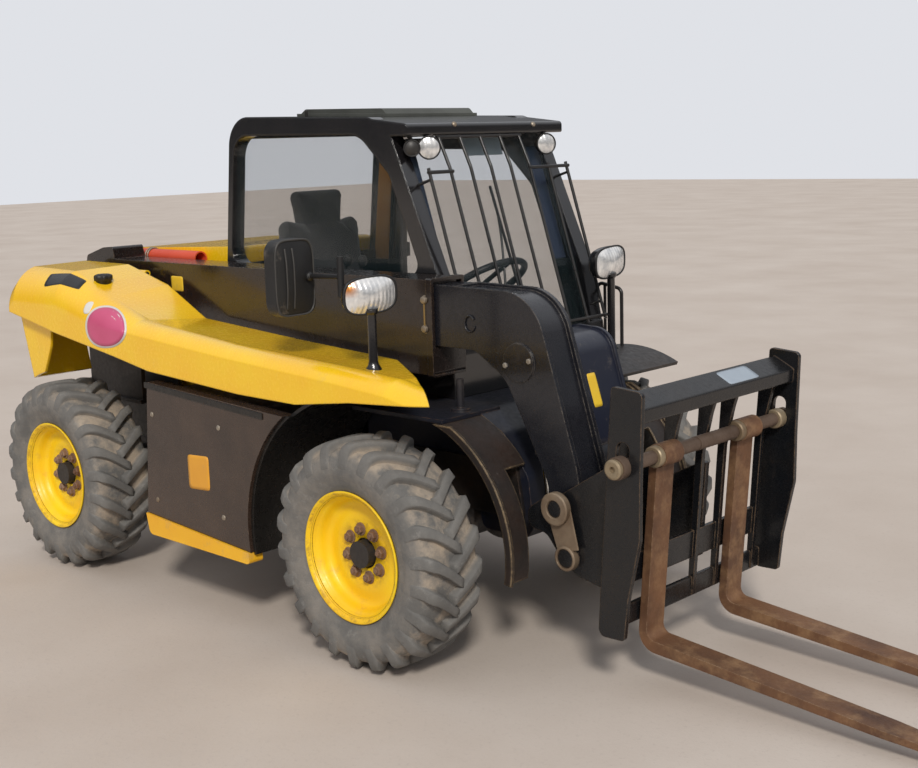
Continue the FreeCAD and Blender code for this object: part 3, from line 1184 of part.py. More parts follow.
def main():
    os.makedirs("parts", exist_ok=True)
    for name, shape in pieces().items():
        shape.translate(V(-MID_X, 0, 0))
        shape.exportStep("parts/" + name + ".step")
        box = shape.BoundBox
        print(name, len(shape.Solids), shape.isValid(), round(shape.Volume / 1e6, 2),
              [round(v) for v in (box.XMin, box.XMax, box.YMin, box.YMax, box.ZMin, box.ZMax)])


if __name__ == "__main__":
    main()
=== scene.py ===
import json
import math
import bmesh
import bpy
import numpy as np
from mathutils import Matrix, Vector

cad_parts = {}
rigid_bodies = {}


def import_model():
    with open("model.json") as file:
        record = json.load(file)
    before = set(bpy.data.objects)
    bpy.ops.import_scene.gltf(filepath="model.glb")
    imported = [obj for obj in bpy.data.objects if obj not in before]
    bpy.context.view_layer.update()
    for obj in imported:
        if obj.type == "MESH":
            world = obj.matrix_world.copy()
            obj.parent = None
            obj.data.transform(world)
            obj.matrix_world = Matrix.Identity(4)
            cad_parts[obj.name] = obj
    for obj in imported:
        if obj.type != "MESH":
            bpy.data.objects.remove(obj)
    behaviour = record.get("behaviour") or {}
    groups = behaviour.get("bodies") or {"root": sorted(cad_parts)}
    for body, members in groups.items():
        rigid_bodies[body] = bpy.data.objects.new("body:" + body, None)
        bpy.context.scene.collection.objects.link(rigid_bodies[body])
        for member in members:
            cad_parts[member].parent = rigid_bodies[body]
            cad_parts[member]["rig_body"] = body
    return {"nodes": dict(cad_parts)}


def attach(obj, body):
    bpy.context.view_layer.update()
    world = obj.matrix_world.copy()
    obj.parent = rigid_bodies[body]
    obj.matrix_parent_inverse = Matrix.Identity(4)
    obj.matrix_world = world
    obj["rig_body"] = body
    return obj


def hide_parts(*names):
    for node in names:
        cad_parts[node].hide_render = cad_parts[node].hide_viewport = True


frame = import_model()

scene = bpy.context.scene
scene.view_settings.view_transform = "Standard"
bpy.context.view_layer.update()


# The camera stands at the front right corner, a little above the cover, and looks down along the
# boom. Its place, turn and lens were solved from the wheels' ellipses and the forks' edges.
camera_place = Vector((3.2658, -3.4804, 1.6660))
camera_yaw = math.radians(133.793)
camera_pitch = math.radians(10.141)
camera_roll = math.radians(-1.726)
focal_pixels, picture_width = 1355.6, 918
ahead = Vector((math.cos(camera_yaw) * math.cos(camera_pitch),
                math.sin(camera_yaw) * math.cos(camera_pitch), -math.sin(camera_pitch)))
level = ahead.cross(Vector((0, 0, 1))).normalized()
upright = level.cross(ahead)
side_axis = level * math.cos(camera_roll) + upright * math.sin(camera_roll)
up_axis = upright * math.cos(camera_roll) - level * math.sin(camera_roll)
lens = bpy.data.cameras.new("photographer")
lens.sensor_width = 36
lens.lens = focal_pixels * lens.sensor_width / picture_width
camera = bpy.data.objects.new("photographer", lens)
camera.matrix_world = Matrix.Translation(camera_place) @ Matrix((side_axis, up_axis, -ahead)).transposed().to_4x4()
scene.collection.objects.link(camera)
scene.camera = camera


# The yard: pale trodden concrete, one flat sheet, and a pale sky that only the camera and
# clear glass see at full strength. What shines sees it bright overhead and dim near the horizon.
def add_node(tree, kind, feeds=(), **settings):
    """One shader node. Each feed names a socket and gives its value, or the output that runs into it."""
    node = tree.nodes.new(kind)
    for key, value in settings.items():
        setattr(node, key, value)
    for socket, value in dict(feeds).items():
        if isinstance(value, bpy.types.NodeSocket):
            tree.links.new(value, node.inputs[socket])
        else:
            node.inputs[socket].default_value = value
    return node


def noise(tree, coordinates, scale, detail=4.0, rough=0.55):
    feeds = {"Vector": coordinates, "Scale": scale, "Detail": detail, "Roughness": rough}
    return add_node(tree, "ShaderNodeTexNoise", feeds).outputs[0]


def spread(tree, value, low, high, to_low=0.0, to_high=1.0):
    """Carries a value from low..high to to_low..to_high, and no further."""
    feeds = {"Value": value, "From Min": low, "From Max": high, "To Min": to_low, "To Max": to_high}
    return add_node(tree, "ShaderNodeMapRange", feeds).outputs[0]


def blend_colours(tree, share, first, second):
    feeds = {0: share, 6: first, 7: second}
    return add_node(tree, "ShaderNodeMix", feeds, data_type="RGBA").outputs[2]


def arithmetic(tree, operation, first, second):
    return add_node(tree, "ShaderNodeMath", {0: first, 1: second}, operation=operation).outputs[0]


def blank_material(name):
    """A material with its tree, its shader and the object's own coordinates."""
    material = bpy.data.materials.new(name)
    material.use_nodes = True
    tree = material.node_tree
    shader = tree.nodes["Principled BSDF"]
    coordinates = add_node(tree, "ShaderNodeTexCoord").outputs["Object"]
    return material, tree, shader, coordinates


concrete, tree, shader, coordinates = blank_material("trodden_concrete")
cloud = noise(tree, coordinates, 0.9, 6.0, 0.6)
grit = noise(tree, coordinates, 55.0, 5.0, 0.7)
base = blend_colours(tree, spread(tree, cloud, 0.3, 0.7), (0.52, 0.445, 0.385, 1), (0.60, 0.53, 0.47, 1))
base = blend_colours(tree, spread(tree, grit, 0.55, 0.75, 0.0, 0.35), base, (0.40, 0.34, 0.30, 1))
tree.links.new(base, shader.inputs["Base Color"])
shader.inputs["Roughness"].default_value = 0.9
bumps = add_node(tree, "ShaderNodeBump", {"Height": grit, "Strength": 0.25, "Distance": 0.004})
tree.links.new(bumps.outputs[0], shader.inputs["Normal"])
yard_mesh = bpy.data.meshes.new("yard")
yard_mesh.from_pydata([(-40, -40, -0.001), (40, -40, -0.001), (40, 40, -0.001), (-40, 40, -0.001)], [], [(0, 1, 2, 3)])
yard_mesh.materials.append(concrete)
yard = bpy.data.objects.new("yard", yard_mesh)
scene.collection.objects.link(yard)

sky = bpy.data.worlds.new("pale_sky")
sky.use_nodes = True
scene.world = sky
tree = sky.node_tree
path = add_node(tree, "ShaderNodeLightPath")
seen = arithmetic(tree, "MAXIMUM", path.outputs["Is Camera Ray"], path.outputs["Is Transmission Ray"])
direction = add_node(tree, "ShaderNodeTexCoord").outputs["Generated"]
height = add_node(tree, "ShaderNodeSeparateXYZ", {0: direction}).outputs[2]
mirrored = spread(tree, height, 0.12, 0.55, 0.10, 0.70)
strength = spread(tree, seen, 0.0, 1.0, 0.62, 0.80)
glossy = arithmetic(tree, "SUBTRACT", path.outputs["Is Glossy Ray"], seen)
strength = add_node(tree, "ShaderNodeMix", {0: spread(tree, glossy, 0.0, 1.0), 2: strength, 3: mirrored}).outputs[0]
tree.links.new(strength, tree.nodes["Background"].inputs["Strength"])
tree.nodes["Background"].inputs["Color"].default_value = (0.93, 0.95, 1.0, 1)

# A broad low sun behind the photographer's right shoulder
sun = bpy.data.lights.new("low_sun", "SUN")
sun.energy = 2.1
sun.angle = math.radians(9)
sun.color = (1.0, 0.95, 0.88)
sun_object = bpy.data.objects.new("low_sun", sun)
sun_object.rotation_euler = Vector((0.62, -0.60, 0.66)).to_track_quat("Z", "Y").to_euler()
scene.collection.objects.link(sun_object)


# The tyres: four traction tyres of dusty, chalky rubber, a moulded carcass with slanted lugs that
# meet in a V and turn down over the shoulders. Soil has dried between the lugs.
def closed_grid(rows, columns, wrap_rows=False, wrap_columns=False):
    """Quads between neighbours on a grid of rows by columns, joined round where it wraps."""
    r = np.arange(rows if wrap_rows else rows - 1)
    c = np.arange(columns if wrap_columns else columns - 1)
    r, c = (a.ravel() for a in np.meshgrid(r, c, indexing="ij"))
    r2, c2 = (r + 1) % rows, (c + 1) % columns
    return np.stack([r * columns + c, r * columns + c2, r2 * columns + c2, r2 * columns + c], axis=1)


def surface(name, points, faces, material, body, smooth=True):
    """A mesh piece of these points and faces that rides on a body."""
    mesh = bpy.data.meshes.new(name)
    mesh.from_pydata(np.asarray(points, float).reshape(-1, 3).tolist(), [], [list(map(int, f)) for f in faces])
    mesh.materials.append(material)
    mesh.update()
    if smooth:
        mesh.shade_smooth()
    piece = bpy.data.objects.new(name, mesh)
    scene.collection.objects.link(piece)
    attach(piece, body)
    return piece


def face_outwards(piece):
    """Turns every closed shell's faces outwards."""
    work = bmesh.new()
    work.from_mesh(piece.data)
    bmesh.ops.recalc_face_normals(work, faces=work.faces)
    work.to_mesh(piece.data)
    work.free()


def soften_edges(piece, width, segments=2, angle=35):
    """Rounds the edges that turn by more than the angle, and keeps the flats flat."""
    bevel = piece.modifiers.new("rounding", "BEVEL")
    bevel.width = width
    bevel.segments = segments
    bevel.limit_method = "ANGLE"
    bevel.angle_limit = math.radians(angle)
    bevel.harden_normals = True


def store(piece, name, values):
    """Keeps one number for each vertex for the piece's material to read."""
    attribute = piece.data.attributes.new(name, "FLOAT", "POINT")
    attribute.data.foreach_set("value", np.asarray(values, np.float32).ravel())


TYRE_TURNS = 144
LUG_COUNT = 22
LUG_SWEEP = 0.245
# Half section of the carcass: distance from the middle plane, radius
carcass_half = np.array([
    (0.000, 0.352), (0.035, 0.3515), (0.070, 0.350), (0.097, 0.345), (0.114, 0.334), (0.1235, 0.318),
    (0.1290, 0.298), (0.1300, 0.280), (0.1265, 0.262), (0.1215, 0.250), (0.1205, 0.246), (0.1160, 0.232),
    (0.1085, 0.220), (0.1055, 0.206),
])
# Line of the lugs' tops, the same way
lug_crown = np.array([
    (-0.014, 0.3790), (0.000, 0.3790), (0.058, 0.3785), (0.098, 0.3735), (0.1145, 0.3640), (0.1225, 0.3420),
    (0.1285, 0.3180), (0.1312, 0.2960),
])


def along_line(line, count):
    """Points evenly spaced along a line of (x, y) knots, by its length."""
    steps = np.hypot(*np.diff(line, axis=0).T)
    reach = np.concatenate([[0], np.cumsum(steps)])
    at = np.linspace(0, reach[-1], count)
    return np.stack([np.interp(at, reach, line[:, 0]), np.interp(at, reach, line[:, 1])], axis=1)


def make_tyre(corner, axle_x, side, material):
    """The carcass is its section carried round the axle. A lug is a row of eight-point humps from
    the middle to the shoulder, each hump set between the carcass and the line of the lugs' tops."""
    section = np.concatenate([carcass_half[::-1], carcass_half[1:] * (-1, 1)])
    turn = np.linspace(0, 2 * np.pi, TYRE_TURNS, endpoint=False)[:, None]
    across, radius = section[:, 0][None, :], section[:, 1][None, :]
    middle = side * 0.640
    carcass = np.stack([axle_x + radius * np.sin(turn), middle + across + 0 * turn, 0.380 + radius * np.cos(turn)], -1)
    points, height = [carcass.reshape(-1, 3)], [np.interp(radius + 0 * turn, [0.318, 0.336], [0.5, 0.0]).ravel()]
    faces = [closed_grid(TYRE_TURNS, len(section), True, True)]

    rows = 13
    crown = along_line(lug_crown, rows)
    share = np.linspace(0, 1, rows)
    ground_w = np.interp(share, [0, 0.5, 0.78, 1.0], [-0.014, 0.075, 0.112, 0.1285])
    ground_r = np.interp(np.abs(ground_w), carcass_half[:8, 0], carcass_half[:8, 1]) - 0.004
    crown = np.concatenate([crown[:1] * (1, 0) + (-0.009, ground_r[0]), crown, crown[-1:] - (0.004, 0.012)])
    ground_w = np.concatenate([[ground_w[0] - 0.009], ground_w, [0.126]])
    ground_r = np.concatenate([ground_r[:1], ground_r, [crown[-1, 1] - 0.006]])
    rise = np.array([0.0, 0.55, 0.94, 1.0, 1.0, 0.94, 0.55, 0.0])
    spread_out = np.array([-1.0, -0.82, -0.70, -0.58, 0.58, 0.70, 0.82, 1.0])
    lug_w = ground_w[:, None] * (1 - rise) + crown[:, :1] * rise
    lug_r = ground_r[:, None] * (1 - rise) + crown[:, 1:] * rise
    lean = LUG_SWEEP * np.clip((0.112 - ground_w) / 0.124, 0, 1) ** 1.25
    half_width = np.interp(ground_w, [-0.02, 0.05, 0.13], [0.062, 0.066, 0.078])
    for hand in (1, -1):
        start = (0.5 if hand > 0 else 0.0) + np.arange(LUG_COUNT)
        angle = start[:, None, None] * 2 * np.pi / LUG_COUNT + lean[:, None] + half_width[:, None] * spread_out
        wobble = 0.0012 * np.sin(start * 2.7)[:, None, None]
        reach = lug_r[None] - np.abs(wobble) * rise
        lug = np.stack([axle_x + reach * np.sin(angle), middle + hand * lug_w[None] + 0 * angle,
                        0.380 + reach * np.cos(angle)], -1)
        quads = closed_grid(rows + 2, 8)
        base_points = lug.shape[1] * lug.shape[2]
        for n in range(LUG_COUNT):
            faces.append(quads + sum(map(len, points)) + n * base_points)
        points.append(lug.reshape(-1, 3))
        height.append(np.tile(rise, LUG_COUNT * (rows + 2)))
    tyre = surface("tyre_" + corner + "_treaded", np.concatenate(points), np.concatenate(faces), material,
                   "wheel_" + corner)
    store(tyre, "lug_height", np.concatenate(height))
    face_outwards(tyre)
    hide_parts("tyre_" + corner)
    return tyre


rubber, tree, shader, coordinates = blank_material("chalky_rubber")
height = add_node(tree, "ShaderNodeAttribute", attribute_name="lug_height").outputs["Fac"]
patches = noise(tree, coordinates, 9.0, 6.0, 0.65)
grain = noise(tree, coordinates, 90.0, 5.0, 0.7)
base = blend_colours(tree, spread(tree, patches, 0.35, 0.7), (0.125, 0.122, 0.116, 1), (0.185, 0.178, 0.166, 1))
soil = arithmetic(tree, "MULTIPLY", spread(tree, height, 0.0, 0.6, 1.0, 0.0), spread(tree, patches, 0.42, 0.62))
base = blend_colours(tree, arithmetic(tree, "MULTIPLY", soil, 0.85), base, (0.43, 0.35, 0.265, 1))
scuffs = spread(tree, noise(tree, coordinates, 28.0, 8.0, 0.75), 0.56, 0.72, 0.0, 0.55)
base = blend_colours(tree, scuffs, base, (0.29, 0.28, 0.262, 1))
tree.links.new(base, shader.inputs["Base Color"])
tree.links.new(spread(tree, grain, 0.3, 0.7, 0.72, 0.95), shader.inputs["Roughness"])
relief = arithmetic(tree, "ADD", grain, patches)
bumps = add_node(tree, "ShaderNodeBump", {"Height": relief, "Strength": 0.55, "Distance": 0.004})
tree.links.new(bumps.outputs[0], shader.inputs["Normal"])

WHEELBASE = 1.790
FRONT_AXLE_X = 0.150
corners = {
    # name: axle x, side
    "front_left": (FRONT_AXLE_X, 1), "front_right": (FRONT_AXLE_X, -1),
    "rear_left": (FRONT_AXLE_X - WHEELBASE, 1), "rear_right": (FRONT_AXLE_X - WHEELBASE, -1),
}
for corner, (axle_x, side) in corners.items():
    make_tyre(corner, axle_x, side, rubber)


# The rims: pressed steel wheels in the machine's yellow, rust round the nuts and chipped at the
# flange, held by eight studs with rusty nuts round a black hub.
def finish_coordinates(tree, radius):
    """How far a face is from an edge's rounding: one on a sharp edge, nought on a flat."""
    rounded = add_node(tree, "ShaderNodeBevel", {"Radius": radius}, samples=4).outputs[0]
    true_normal = add_node(tree, "ShaderNodeNewGeometry").outputs["Normal"]
    facing = add_node(tree, "ShaderNodeVectorMath", {0: rounded, 1: true_normal}, operation="DOT_PRODUCT")
    return rounded, spread(tree, facing.outputs["Value"], 0.985, 0.80)


def painted(name, light, dark, rough=(0.3, 0.5), rounding=0.004, dust=0.0, dust_colour=(0.30, 0.25, 0.20, 1),
            wear=0.0, wear_colour=(0.20, 0.09, 0.04, 1), relief=0.15, coat=0.0, metallic=0.0, grain_scale=60.0):
    """Paint that drifts between two shades, dulled by dust in patches and worn through at its edges."""
    material, tree, shader, coordinates = blank_material(name)
    drift = noise(tree, coordinates, 4.0, 5.0, 0.6)
    grain = noise(tree, coordinates, grain_scale, 6.0, 0.65)
    base = blend_colours(tree, spread(tree, drift, 0.35, 0.65), (*light, 1), (*dark, 1))
    roughness = spread(tree, grain, 0.3, 0.7, *rough)
    if dust:
        patches = noise(tree, coordinates, 11.0, 9.0, 0.72)
        film = spread(tree, patches, 0.64 - 0.3 * dust, 0.78 - 0.1 * dust, 0.0, min(0.9, 0.35 + dust))
        base = blend_colours(tree, film, base, dust_colour)
        roughness = arithmetic(tree, "MAXIMUM", roughness, arithmetic(tree, "MULTIPLY", film, 0.9))
    rounded = None
    if rounding:
        rounded, edge = finish_coordinates(tree, rounding)
        if wear:
            ragged = spread(tree, noise(tree, coordinates, 42.0, 6.0, 0.7), 0.60 - 0.3 * wear, 0.66)
            edge = arithmetic(tree, "MULTIPLY", edge, ragged)
            base = blend_colours(tree, edge, base, wear_colour)
            roughness = arithmetic(tree, "MAXIMUM", roughness, arithmetic(tree, "MULTIPLY", edge, 0.7))
    tree.links.new(base, shader.inputs["Base Color"])
    tree.links.new(roughness, shader.inputs["Roughness"])
    shader.inputs["Coat Weight"].default_value = coat
    shader.inputs["Coat Roughness"].default_value = 0.12
    shader.inputs["Metallic"].default_value = metallic
    feeds = {"Height": grain, "Strength": relief, "Distance": 0.0015}
    if rounded is not None:
        feeds["Normal"] = rounded
    tree.links.new(add_node(tree, "ShaderNodeBump", feeds).outputs[0], shader.inputs["Normal"])
    return material


def dress(material, *nodes):
    """Gives a finish to nodes of the frame."""
    for node in nodes:
        mesh = frame["nodes"][node].data
        mesh.materials.clear()
        mesh.materials.append(material)


def lathe(profile, turns, axle_x, middle, outward, height=0.380):
    """A closed profile of (distance outward, radius) carried round an axle along Y."""
    turn = np.linspace(0, 2 * np.pi, turns, endpoint=False)[:, None]
    out, radius = profile[:, 0][None, :], profile[:, 1][None, :]
    return np.stack([axle_x + radius * np.sin(turn), middle + outward * out + 0 * turn,
                     height + radius * np.cos(turn)], -1)


def stained(material, attribute, colour):
    """Lets a rust stain through a paint where the piece's own attribute runs high."""
    tree = material.node_tree
    shader = tree.nodes["Principled BSDF"]
    share = add_node(tree, "ShaderNodeAttribute", attribute_name=attribute).outputs["Fac"]
    spots = spread(tree, noise(tree, tree.nodes["Texture Coordinate"].outputs["Object"], 34.0, 6.0, 0.7), 0.44, 0.60)
    paint = shader.inputs["Base Color"].links[0].from_socket
    tree.links.new(blend_colours(tree, arithmetic(tree, "MULTIPLY", share, spots), paint, colour), shader.inputs["Base Color"])


rim_profile = np.array([
    # distance outward from the tyre's middle, radius: the outer flange, the barrel's step, the dished disc and back
    (0.1145, 0.2160), (0.1158, 0.2130), (0.1150, 0.2085), (0.1110, 0.2050), (0.1060, 0.1985), (0.0900, 0.1930),
    (0.0860, 0.1885), (0.0800, 0.1835), (0.0690, 0.1805), (0.0560, 0.1760), (0.0475, 0.1690), (0.0450, 0.1600),
    (0.0455, 0.1480), (0.0490, 0.1330), (0.0500, 0.1180), (0.0470, 0.1080), (0.0462, 0.1000), (0.0462, 0.0500),
    (0.0345, 0.0500), (0.0345, 0.1600), (0.0380, 0.1750), (0.0300, 0.1820), (-0.1060, 0.1870), (-0.1150, 0.2075),
    (-0.1155, 0.2155), (-0.1070, 0.2130), (-0.1065, 0.1965), (0.1060, 0.1965), (0.1065, 0.2130),
])
wheel_yellow = painted("wheel_yellow", (0.96, 0.66, 0.010), (0.90, 0.54, 0.010), (0.28, 0.5), 0.002,
                       dust=0.28, dust_colour=(0.55, 0.33, 0.08, 1), wear=0.55, wear_colour=(0.16, 0.06, 0.03, 1))
stained(wheel_yellow, "hub_stain", (0.17, 0.07, 0.03, 1))
rusty_steel = painted("rusty_steel", (0.34, 0.22, 0.15), (0.15, 0.08, 0.05), (0.55, 0.85), 0.0015,
                      dust=0.3, dust_colour=(0.33, 0.24, 0.17, 1), relief=0.6, metallic=0.3, grain_scale=120.0)
hub_black = painted("hub_black", (0.022, 0.021, 0.024), (0.035, 0.028, 0.022), (0.4, 0.7), 0.003, dust=0.3,
                    dust_colour=(0.13, 0.10, 0.075, 1), relief=0.3)


def nut_points(centre_x, centre_z, base_y, outward, radius, stages, sides=6, turn=0.0):
    """Rings of a nut or bolt head: each stage is (height outward, share of the radius)."""
    angle = turn + np.arange(sides) * 2 * np.pi / sides
    stages = np.array(stages)
    return np.stack([centre_x + radius * stages[:, 1:] * np.cos(angle),
                     base_y + outward * stages[:, :1] + 0 * angle,
                     centre_z + radius * stages[:, 1:] * np.sin(angle)], -1)


def ring_faces(rings, sides):
    """Quads between the rings, with the first and last ring closed by one face each."""
    quads = closed_grid(rings, sides, False, True).tolist()
    return quads + [list(range(sides)), list(range((rings - 1) * sides, rings * sides))]


for corner, (axle_x, side) in corners.items():
    middle = side * 0.640
    ring = lathe(rim_profile, 96, axle_x, middle, side)
    rim = surface("rim_" + corner + "_pressed", ring, closed_grid(96, len(rim_profile), True, True), wheel_yellow,
                  "wheel_" + corner)
    far = np.hypot(ring[..., 0] - axle_x, ring[..., 2] - 0.380)
    store(rim, "hub_stain", 0.9 * np.exp(-((far - 0.078) / 0.026) ** 2) + 0.5 * np.exp(-((far - 0.206) / 0.006) ** 2))
    face_outwards(rim)
    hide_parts("rim_" + corner)
    points, faces = [], []
    face_y = middle + side * 0.0462
    for n in range(8):
        turn = n * math.pi / 4 + 0.2
        x, z = axle_x + 0.079 * math.cos(turn), 0.380 + 0.079 * math.sin(turn)
        for radius, stages, sides in ((0.022, ((-0.001, 1.0), (0.003, 1.0), (0.0045, 0.9)), 16),
                                      (0.0165, ((0.003, 1.0), (0.015, 1.0), (0.018, 0.84)), 6),
                                      (0.0082, ((0.010, 1.0), (0.0225, 1.0), (0.0237, 0.8)), 12)):
            rings = nut_points(x, z, face_y, side, radius, stages, sides, turn)
            faces += [[v + len(points) for v in f] for f in ring_faces(len(stages), sides)]
            points += rings.reshape(-1, 3).tolist()
    nuts = surface("wheel_nuts_" + corner, points, faces, rusty_steel, "wheel_" + corner, smooth=False)
    face_outwards(nuts)
dress(hub_black, "knuckle_front_left", "knuckle_front_right", "knuckle_rear_left", "knuckle_rear_right",
      "front_axle", "rear_axle")


# The engine cover: a gloss yellow moulding with a knurled black filler cap. The label, the oval badge and
# the small sticker on it are blank films laid on its skin.
def laid(node, starts, direction, lift):
    """Points carried along a direction on to a node's skin, then held off it by the lift."""
    onward = Vector(direction).normalized()
    points = []
    for start in np.asarray(starts, float).reshape(-1, 3):
        hit, place, normal, _ = frame["nodes"][node].ray_cast(Vector(start), onward)
        if not hit:
            raise ValueError("nothing of " + node + " lies beyond " + str(start))
        normal = -normal if normal.dot(onward) > 0 else normal
        points.append(place + normal * lift)
    return np.array(points)


def outline_reach(angle, squareness):
    """Superellipse radius: (|cos a|^n + |sin a|^n)^(-1/n), a circle at n = 2 and nearly a square by 10."""
    return (np.abs(np.cos(angle)) ** squareness + np.abs(np.sin(angle)) ** squareness) ** (-1 / squareness)


def label(name, node, centre, half_width, half_height, direction, material, squareness=9.0):
    """A thin film on a node's skin, its outline a superellipse on two half axes, its rim tucked in."""
    angle = np.linspace(0, 2 * np.pi, 56, endpoint=False)
    reach = outline_reach(angle, squareness)
    share = np.array([0.06, 0.3, 0.55, 0.8, 1.0])[:, None]
    flat = (np.array(centre)[None, None] + (share * reach * np.cos(angle))[..., None] * np.array(half_width)
            + (share * reach * np.sin(angle))[..., None] * np.array(half_height))
    film = laid(node, flat, direction, 0.0009).reshape(5, 56, 3)
    tucked = film[-1:] + np.array(Vector(direction).normalized()) * 0.0015
    faces = closed_grid(6, 56, False, True).tolist() + [list(range(55, -1, -1))]
    piece = surface(name, np.concatenate([film, tucked]), faces, material, frame["nodes"][node]["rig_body"])
    facing = sum((p.normal * p.area for p in piece.data.polygons), Vector())
    if facing.dot(Vector(direction)) > 0:
        piece.data.flip_normals()
    return piece


cover_paint = painted("cover_yellow", (0.95, 0.60, 0.009), (0.93, 0.53, 0.009), (0.20, 0.32), 0.008, dust=0.05,
                      dust_colour=(0.60, 0.40, 0.12, 1), relief=0.05, coat=0.6)
sill_paint = painted("sill_yellow", (0.93, 0.52, 0.02), (0.85, 0.42, 0.015), (0.3, 0.5), 0.003, dust=0.35,
                     dust_colour=(0.50, 0.33, 0.14, 1), wear=0.5, wear_colour=(0.20, 0.10, 0.05, 1))
moulding = painted("black_moulding", (0.010, 0.010, 0.011), (0.019, 0.018, 0.018), (0.35, 0.6), 0.003, dust=0.2,
                   dust_colour=(0.12, 0.10, 0.08, 1), relief=0.4, grain_scale=220.0)
film_black = painted("film_black", (0.012, 0.012, 0.014), (0.02, 0.02, 0.022), (0.25, 0.35), 0.0, relief=0.03)
film_pink = painted("film_pink", (0.62, 0.10, 0.22), (0.55, 0.08, 0.18), (0.3, 0.4), 0.0, relief=0.03)
film_white = painted("film_white", (0.78, 0.76, 0.72), (0.70, 0.68, 0.64), (0.3, 0.4), 0.0, relief=0.03)
film_amber = painted("film_amber", (0.80, 0.38, 0.03), (0.72, 0.33, 0.03), (0.3, 0.45), 0.0, dust=0.3, relief=0.05)
bpy.context.view_layer.update()
dress(cover_paint, "bonnet", "rear_cover_left")
dress(sill_paint, "sill_strip")
down = (0.0, 0.0, -1.0)
inwards = (0.0, 1.0, 0.0)
shoulder_way = (-4.44, 2.73, -0.65)
badge_start = (-0.928, -0.902, 1.058)
label("type_plate_blank", "bonnet", (-1.545, -0.690, 1.40), (0.112, 0.012, 0.0), (0.008, -0.024, 0.0), down, film_black, 14)
label("badge_rim", "bonnet", badge_start, (0.0393, 0.0639, 0), (0, 0, 0.081), shoulder_way, film_white, 2.2)
badge_face = label("badge_face", "bonnet", badge_start, (0.0357, 0.0579, 0), (0, 0, 0.074), shoulder_way, film_pink, 2.2)
for vertex in badge_face.data.vertices:
    vertex.co.y -= 0.0006
label("white_sticker", "bonnet", (-1.320, -1.0, 1.082), (0.020, 0, 0.0), (0, 0, 0.022), inwards, film_white, 3.0)


def knurled(centre, rings, ribs, depth):
    """Turned knob on an upright axis, r = r0 (1 - depth * crest(ribs * a)) on its side; rings are (radius, height, ribbed)."""
    angle = np.linspace(0, 2 * np.pi, ribs * 8, endpoint=False)
    crest = np.clip(1.6 * np.cos(ribs * angle), -1, 1) * 0.5 + 0.5
    rows = []
    for radius, height, ribbed in rings:
        r = radius * (1 - depth * ribbed * crest)
        rows.append(np.stack([centre[0] + r * np.cos(angle), centre[1] + r * np.sin(angle),
                              centre[2] + height + 0 * angle], -1))
    return np.array(rows)


cap_rings = ((0.030, -0.030, 0), (0.030, 0.002, 0), (0.036, 0.003, 1), (0.037, 0.018, 1), (0.034, 0.024, 1),
             (0.024, 0.028, 0), (0.010, 0.029, 0))
cap_points = knurled((-1.410, -0.600, 1.168), cap_rings, 7, 0.13)
cap = surface("filler_cap_knurled", cap_points, closed_grid(7, 56, False, True).tolist() + [list(range(56)),
              list(range(6 * 56, 7 * 56))], moulding, "engine_cover")
face_outwards(cap)
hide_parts("filler_cap")


# The chassis and its sheet metal: worn satin black over steel, tan rust on the wheel houses' lips, oily
# castings and soil below, a brown-black side panel with a blank square on it.
chassis_black = painted("chassis_black", (0.010, 0.010, 0.011), (0.024, 0.018, 0.015), (0.3, 0.55), 0.004, dust=0.3,
                        dust_colour=(0.065, 0.045, 0.032, 1), wear=0.5, wear_colour=(0.14, 0.07, 0.04, 1), relief=0.3)
deck_navy = painted("deck_navy", (0.007, 0.010, 0.022), (0.016, 0.015, 0.018), (0.35, 0.55), 0.004, dust=0.3,
                    dust_colour=(0.055, 0.045, 0.038, 1), wear=0.6, wear_colour=(0.16, 0.09, 0.05, 1), relief=0.3)
lip_rust = painted("lip_rust", (0.011, 0.010, 0.010), (0.035, 0.020, 0.014), (0.4, 0.7), 0.011, dust=0.12,
                   dust_colour=(0.06, 0.038, 0.024, 1), wear=1.0, wear_colour=(0.46, 0.33, 0.18, 1), relief=0.6)
panel_brown = painted("panel_brown", (0.030, 0.018, 0.013), (0.052, 0.031, 0.021), (0.20, 0.36), 0.003, dust=0.2,
                      dust_colour=(0.065, 0.045, 0.036, 1), wear=0.35, wear_colour=(0.28, 0.19, 0.13, 1), relief=0.12,
                      coat=0.35)
guard_black = painted("guard_black", (0.008, 0.008, 0.008), (0.016, 0.014, 0.012), (0.18, 0.42), 0.004, dust=0.2,
                      dust_colour=(0.075, 0.062, 0.05, 1), relief=0.9, grain_scale=38.0)
oily_casting = painted("oily_casting", (0.03, 0.026, 0.022), (0.055, 0.045, 0.036), (0.4, 0.7), 0.005, dust=0.5,
                       dust_colour=(0.14, 0.11, 0.08, 1), relief=0.8)
dress(chassis_black, "chassis_frame", "rear_hitch", "left_tank", "left_fender")
dress(deck_navy, "chassis_nose")
dress(lip_rust, "front_arches")
dress(panel_brown, "side_panel")
dress(guard_black, "mudguard_right")
dress(oily_casting, "engine_block")
label("panel_square_blank", "side_panel", (-0.632, -1.0, 0.542), (0.062, 0, 0.004), (0, 0, 0.062), inwards, film_amber, 12)


